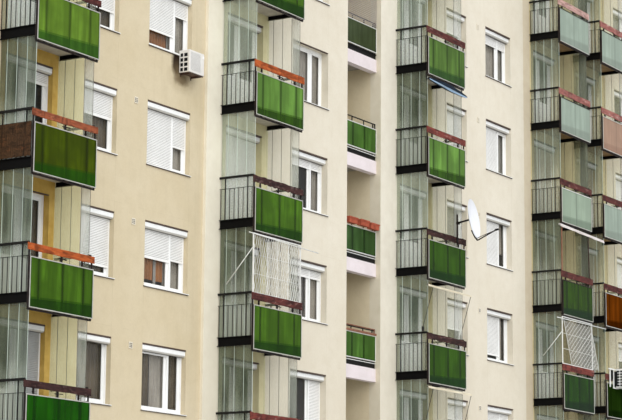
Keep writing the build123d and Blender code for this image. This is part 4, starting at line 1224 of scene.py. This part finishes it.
def roll(name, xa, xb, y, za, zb, r0, r1, turns, hang, mat):
    """Cloth rolled on its bar, its free end hanging down at the front."""
    msh = Mesh(name)
    n = int(turns * 20)
    rows = []
    nx = 26
    for q in range(nx + 1):
        x = xa + (xb - xa) * q / nx
        zc = za + (zb - za) * q / nx
        row = []
        for k in range(n + 1):
            t = k / n
            ang = math.pi * 1.0 + t * turns * 2 * math.pi
            r = r0 + (r1 - r0) * t
            row.append((x, y + r * math.cos(ang), zc + r * math.sin(ang)))
        last = row[-1]
        for k in range(1, 7):
            t = k / 6.0
            row.append((x, last[1] - 0.010 * math.sin(t * 3.1 + q * 0.7) - 0.004 * t,
                        last[2] - hang * t * (1.0 + 0.05 * math.sin(q * 1.3))))
        rows.append(row)
    msh.grid(rows, smooth=True)
    o = msh.make(mat, "awning_cloth", weld=False, fix=False)
    msh.area() / 2.0
    return o


bars = Mesh("awning_bars")
bx, by = BALCONIES[4]
ya = by - BD - 0.06
XA, XB = bx - 0.04, bx + BW + 0.06
ZA, ZB = zf(6) - 0.462, zf(6) - 0.556


def swag(name, u0, u1, k0, k1, mat, seed):
    """Cloth gathered round the slanting bar: an outline that swells in the middle, with long soft folds."""
    msh = Mesh(name)
    rows = []
    for q in range(61):
        t = u0 + (u1 - u0) * q / 60.0
        x = XA + (XB - XA) * t
        zc = ZA + (ZB - ZA) * t
        fat = 0.026 + 0.068 * min(1.0, math.sin(math.pi * min(max(t, 0.0), 1.0)) ** 0.8)
        row = []
        for k in range(k0, k1 + 1):
            ang = math.pi * 2 * k / 40.0
            fold = 0.86 + 0.10 * math.sin(ang * 5 + seed + t * 5.0) + 0.04 * math.sin(ang * 11 + t * 17.0 + seed)
            row.append((x, ya + fat * fold * math.cos(ang), zc + fat * fold * math.sin(ang)))
        rows.append(row)
    msh.grid(rows, smooth=True)
    o_ = msh.make(mat, "awning_cloth", weld=False, fix=False)
    msh.area() / 2.0
    return o_


# the dark back of the cloth shows above, its pale blue face below; the navy band under the roll is partly the cloth's
# back, partly painted shade
o = swag("awning_cloth_blue", 0.01, 0.99, 23, 28, M["awning_blue"], 0.4)
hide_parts("awning_roll")
swag("awning_cloth_folds", 0.02, 0.97, 3, 23, M["awning_navy"], 0.4)
swag("awning_cloth_dark_underside", 0.02, 0.985, 28, 40, M["awning_navy"], 0.4)
bars.tube([(XA, ya, ZA), (XB, ya, ZB)], 0.017, 10)
for px, zc in ((bx + 0.030, ZA - 0.004), (bx + BW - 0.058, ZB + 0.006)):
    bars.box(px, px + 0.028, ya, by - BD + 0.058, zc - 0.012, zc + 0.012, 0.003)
    bars.box(px, px + 0.028, by - BD + 0.034, by - BD + 0.058, zc - 0.012, zf(6) - 0.216, 0.003)
for st, zz in ((3, 2.235), (2, 2.330)):
    z = zf(st)
    roll("awning_cloth_cream_%d" % st, bx - 0.30, bx + BW + 0.02, -1.24, z + zz, z + zz, 0.012, 0.026, 3, 0.035, M["awning_cream"])
    bars.tube([(bx - 0.33, -1.24, z + zz), (bx + BW + 0.05, -1.24, z + zz)], 0.010, 8)
    for px in (bx - 0.012, bx + BW + 0.012):
        bars.tube([(px, -1.25, z + zz - 0.03), (px, by - 0.86, z + 1.16)], 0.008, 8)
        bars.box(px - 0.014, px + 0.014, by - 0.89, by - 0.83, z + 1.045, z + 1.175, 0.003)
bx, by = BALCONIES[5]
z = zf(4)
roll("awning_cloth_pale", bx - 0.18, bx + 2.93, -1.105, z + 2.375, z + 2.300, 0.014, 0.034, 4, 0.060, M["awning_white"])
wz.tube([(bx - 0.20, -1.105, z + 2.376), (bx + 2.95, -1.105, z + 2.299)], 0.012, 8)
posts = Mesh("awning_posts")
posts.box(bx + 0.02, bx + 0.05, -1.09, -1.06, z + 1.0, z + 2.36, 0.003)
posts.make(M["brownrail"], "board_paint")
dpost = Mesh("awning_post_dark")
dpost.tube([(bx + 1.93, -1.085, z + 1.0), (bx + 1.87, -1.085, z + 2.33)], 0.017, 8)
dpost.make(BOARD["brown"], "board_paint")
bars.make(M["dish_steel"], "dish_steel")
wz.make(M["white_steel"], "white_paint")

# the dish's own arm comes round its lower rim
arm = Mesh("dish_arm")
dn = Vector((0.2102, -0.967, 0.1441)).normalized()
dx_ = dn.cross(Vector((0, 0, 1))).normalized()
dy_ = dn.cross(dx_)
down = dy_ if dy_.z < 0 else -dy_
at = Vector((10.097, -1.481, zf(4) + 1.477))
knee = at + down * 0.610 + dn * 0.110
lnb = at + down * 0.420 + dn * 0.680
arm.tube([tuple(at + down * 0.30 - dn * 0.012), tuple(at + down * 0.50 + dn * 0.050), tuple(knee)], 0.020, 8)
arm.tube([tuple(knee), tuple(lnb)], 0.018, 8)
mx, my = 10.010, -STEP - BD - 0.046
arm.tube([(mx, my, zf(4) + 0.79), (mx, my, zf(4) + 1.63)], 0.023, 10)
arm.tube([(mx, my, zf(4) + 1.396), tuple(at - dn * 0.03)], 0.026, 10)
arm.box(mx - 0.02, mx + 0.10, my - 0.03, my + 0.03, zf(4) + 1.37, zf(4) + 1.43, 0.006)
arm.tube([tuple(at + down * 0.50 + dn * 0.075), tuple(knee)], 0.020, 8)
arm.make(M["frame_steel"], "dish_steel")

# ---------------------------------------------------------------- air conditioners
acd = Mesh("ac_shaded_openings")
acw = Mesh("ac_louvres")
acs = Mesh("ac_shade")
za = zf(5)
# front grille: a rounded field in a slightly greyer painted shade, with fine bars
acs.box(-1.610, -1.215, -0.3262, -0.3245, za + 0.505, za + 0.945, 0.0008)
for k in range(21):
    acw.box(-1.606, -1.219, -0.3278, -0.3258, za + 0.512 + 0.0208 * k, za + 0.518 + 0.0208 * k, 0.0008)
# grille holes on the left unit's side: dark plates, painted shade
for c, (ya_, yb_) in enumerate(((-0.134, -0.060), (-0.262, -0.166))):
    for k in range(4):
        zz = za + 0.993 - 0.078 - 0.117 * k
        acd.box(-1.6565, -1.6540, ya_, yb_, zz - 0.082, zz, 0.001)
# pipe covers at its end
acw.box(-1.1300, -1.0700, -0.3330, -0.3240, za + 0.86, za + 0.93, 0.004)
acw.box(-1.055, -1.040, -0.200, -0.140, za + 0.66, za + 0.86, 0.004)
acw.tube([(-1.047, -0.17, za + 0.72), (-1.012, -0.17, za + 0.72)], 0.014, 10)
acw.tube([(-1.047, -0.17, za + 0.80), (-1.018, -0.17, za + 0.80)], 0.012, 10)
brk = Mesh("ac_brackets")
for px in (-1.575, -1.165):
    brk.box(px - 0.004, px + 0.034, -0.305, -0.002, za + 0.418, za + 0.428, 0.002)
brk.box(-1.640, -1.070, -0.300, -0.276, za + 0.432, za + 0.4525, 0.002)
bx, by = BALCONIES[6]
zr = zf(3)
yo = by - BD - 0.042
# grille holes on the right unit's side: dark plates, painted shade
for c in range(2):
    for k in range(6):
        y0_ = yo - 0.300 + c * 0.125
        z0_ = zr + 0.640 + k * 0.086
        acd.box(bx + 0.5185, bx + 0.5225, y0_, y0_ + 0.100, z0_, z0_ + 0.058, 0.001)
cx_, cz_ = bx + 0.80, zr + 0.892
# dark disc behind the fan guard: painted shade
acd.tube([(cx_, yo - 0.3305, cz_), (cx_, yo - 0.3295, cz_)], 0.235, 32)
for r in (0.06, 0.11, 0.16, 0.205, 0.240):
    acw.tube([(cx_ + r * math.cos(t * math.pi / 14), yo - 0.333, cz_ + r * math.sin(t * math.pi / 14)) for t in range(28)], 0.004, 6, closed=True)
for t in range(8):
    a = t * math.pi / 4
    acw.tube([(cx_ + 0.02 * math.cos(a), yo - 0.333, cz_ + 0.02 * math.sin(a)), (cx_ + 0.245 * math.cos(a), yo - 0.333, cz_ + 0.245 * math.sin(a))], 0.003, 6)
# its white hanging frame
for px in (bx + 0.16, bx + 0.42):
    acw.box(px, px + 0.034, yo - 0.034, yo - 0.002, zr + 0.60, zr + 1.17, 0.003)
acw.box(bx + 0.06, bx + 0.60, yo - 0.040, yo - 0.004, zr + 1.14, zr + 1.175, 0.003)
acw.box(bx + 0.40, bx + 0.62, yo - 0.040, yo - 0.004, zr + 0.575, zr + 0.61, 0.003)
# dark blocks in the gaps by the hanging frame: painted shade
acd.box(bx + 0.455, bx + 0.515, yo - 0.12, yo - 0.02, zr + 0.66, zr + 1.10, 0.01)
acd.box(bx + 0.20, bx + 0.40, yo - 0.022, yo - 0.004, zr + 0.86, zr + 1.13, 0.01)
brk.make(M["brown_edge"], "ac_paint")
acd.make(M["dark"], "railing_paint")
acw.make(M["ac"], "ac_paint")
M["ac_shade"] = m_pvc("ac_shade", srgb(192, 188, 182), srgb(172, 168, 162))
acs.make(M["ac_shade"], "ac_paint")

# louvres of the small wall grilles: plates in darker colours that paint the shade in their slots
vl = Mesh("vent_louvres")
for i in range(8):
    for xa, face, zz in ((-3.350, 0.0, 2.200), (13.190, -STEP, 2.170)):
        for k in range(3):
            z_ = zf(i) + zz + 0.026 + k * 0.036
            for q in range(2):
                vl.mi = 0 if (xa < 0) or i < 4 else 1
                vl.box(xa + 0.022 + q * 0.056, xa + 0.062 + q * 0.056, face - 0.0162, face - 0.0148, z_, z_ + 0.024, 0.0004)
vl.make([M["vent_slot"], M["vent_slot_pale"]], "vent_plastic")

# ---------------------------------------------------------------- ground, light and camera
me = bpy.data.meshes.new("floor")
me.from_pydata([(-260, -260, 0), (260, -260, 0), (260, 260, 0), (-260, 260, 0)], [], [(0, 1, 2, 3)])
fl = bpy.data.objects.new("floor", me)
bpy.context.scene.collection.objects.link(fl)
nf_ = Nodes("floor_pale")
fm = nf_.done(nf_.mix(nf_.range(nf_.noise(0.15, 3, 0.5), 0.3, 0.7, 0, 1), srgb(200, 199, 196), srgb(192, 191, 188)), 0.9, spec=0.1)
me.materials.append(fm)

w = bpy.data.worlds.new("studio")
bpy.context.scene.world = w
w.use_nodes = True
bg = w.node_tree.nodes["Background"]
bg.inputs[0].default_value = (0.90, 0.94, 1.0, 1)
bg.inputs[1].default_value = 1.06

sun = bpy.data.lights.new("soft_sun", "SUN")
sun.energy = 1.75
sun.angle = math.radians(70)
sun.color = (1.0, 0.97, 0.91)
so = bpy.data.objects.new("soft_sun", sun)
bpy.context.scene.collection.objects.link(so)
so.rotation_mode = "QUATERNION"
so.rotation_quaternion = Vector((0.85, 1.0, -0.90)).to_track_quat("-Z", "Y")

cam = bpy.data.cameras.new("camera")
co = bpy.data.objects.new("camera", cam)
bpy.context.scene.collection.objects.link(co)
yaw, pit, rol = math.radians(57.9268), math.radians(10.4094), math.radians(0.4741)
fwd = Vector((math.sin(yaw) * math.cos(pit), math.cos(yaw) * math.cos(pit), math.sin(pit)))
rgt = Vector((math.cos(yaw), -math.sin(yaw), 0))
up = rgt.cross(fwd)
r2 = rgt * math.cos(rol) + up * math.sin(rol)
u2 = -rgt * math.sin(rol) + up * math.cos(rol)
mat3 = Matrix((r2, u2, -fwd)).transposed()
co.matrix_world = Matrix.Translation(Vector((-42.7589 + SX, -29.4592 + SY, 2.2485))) @ mat3.to_4x4()
cam.sensor_width = 36.0
cam.lens = 36.0 * 2216.69 / 622.0
cam.clip_start, cam.clip_end = 1.0, 600.0
sc = bpy.context.scene
sc.camera = co
sc.view_settings.view_transform = "Standard"
sc.view_settings.look = "None"
sc.cycles.use_denoising = True
sc.cycles.max_bounces = 10
sc.cycles.transparent_max_bounces = 24
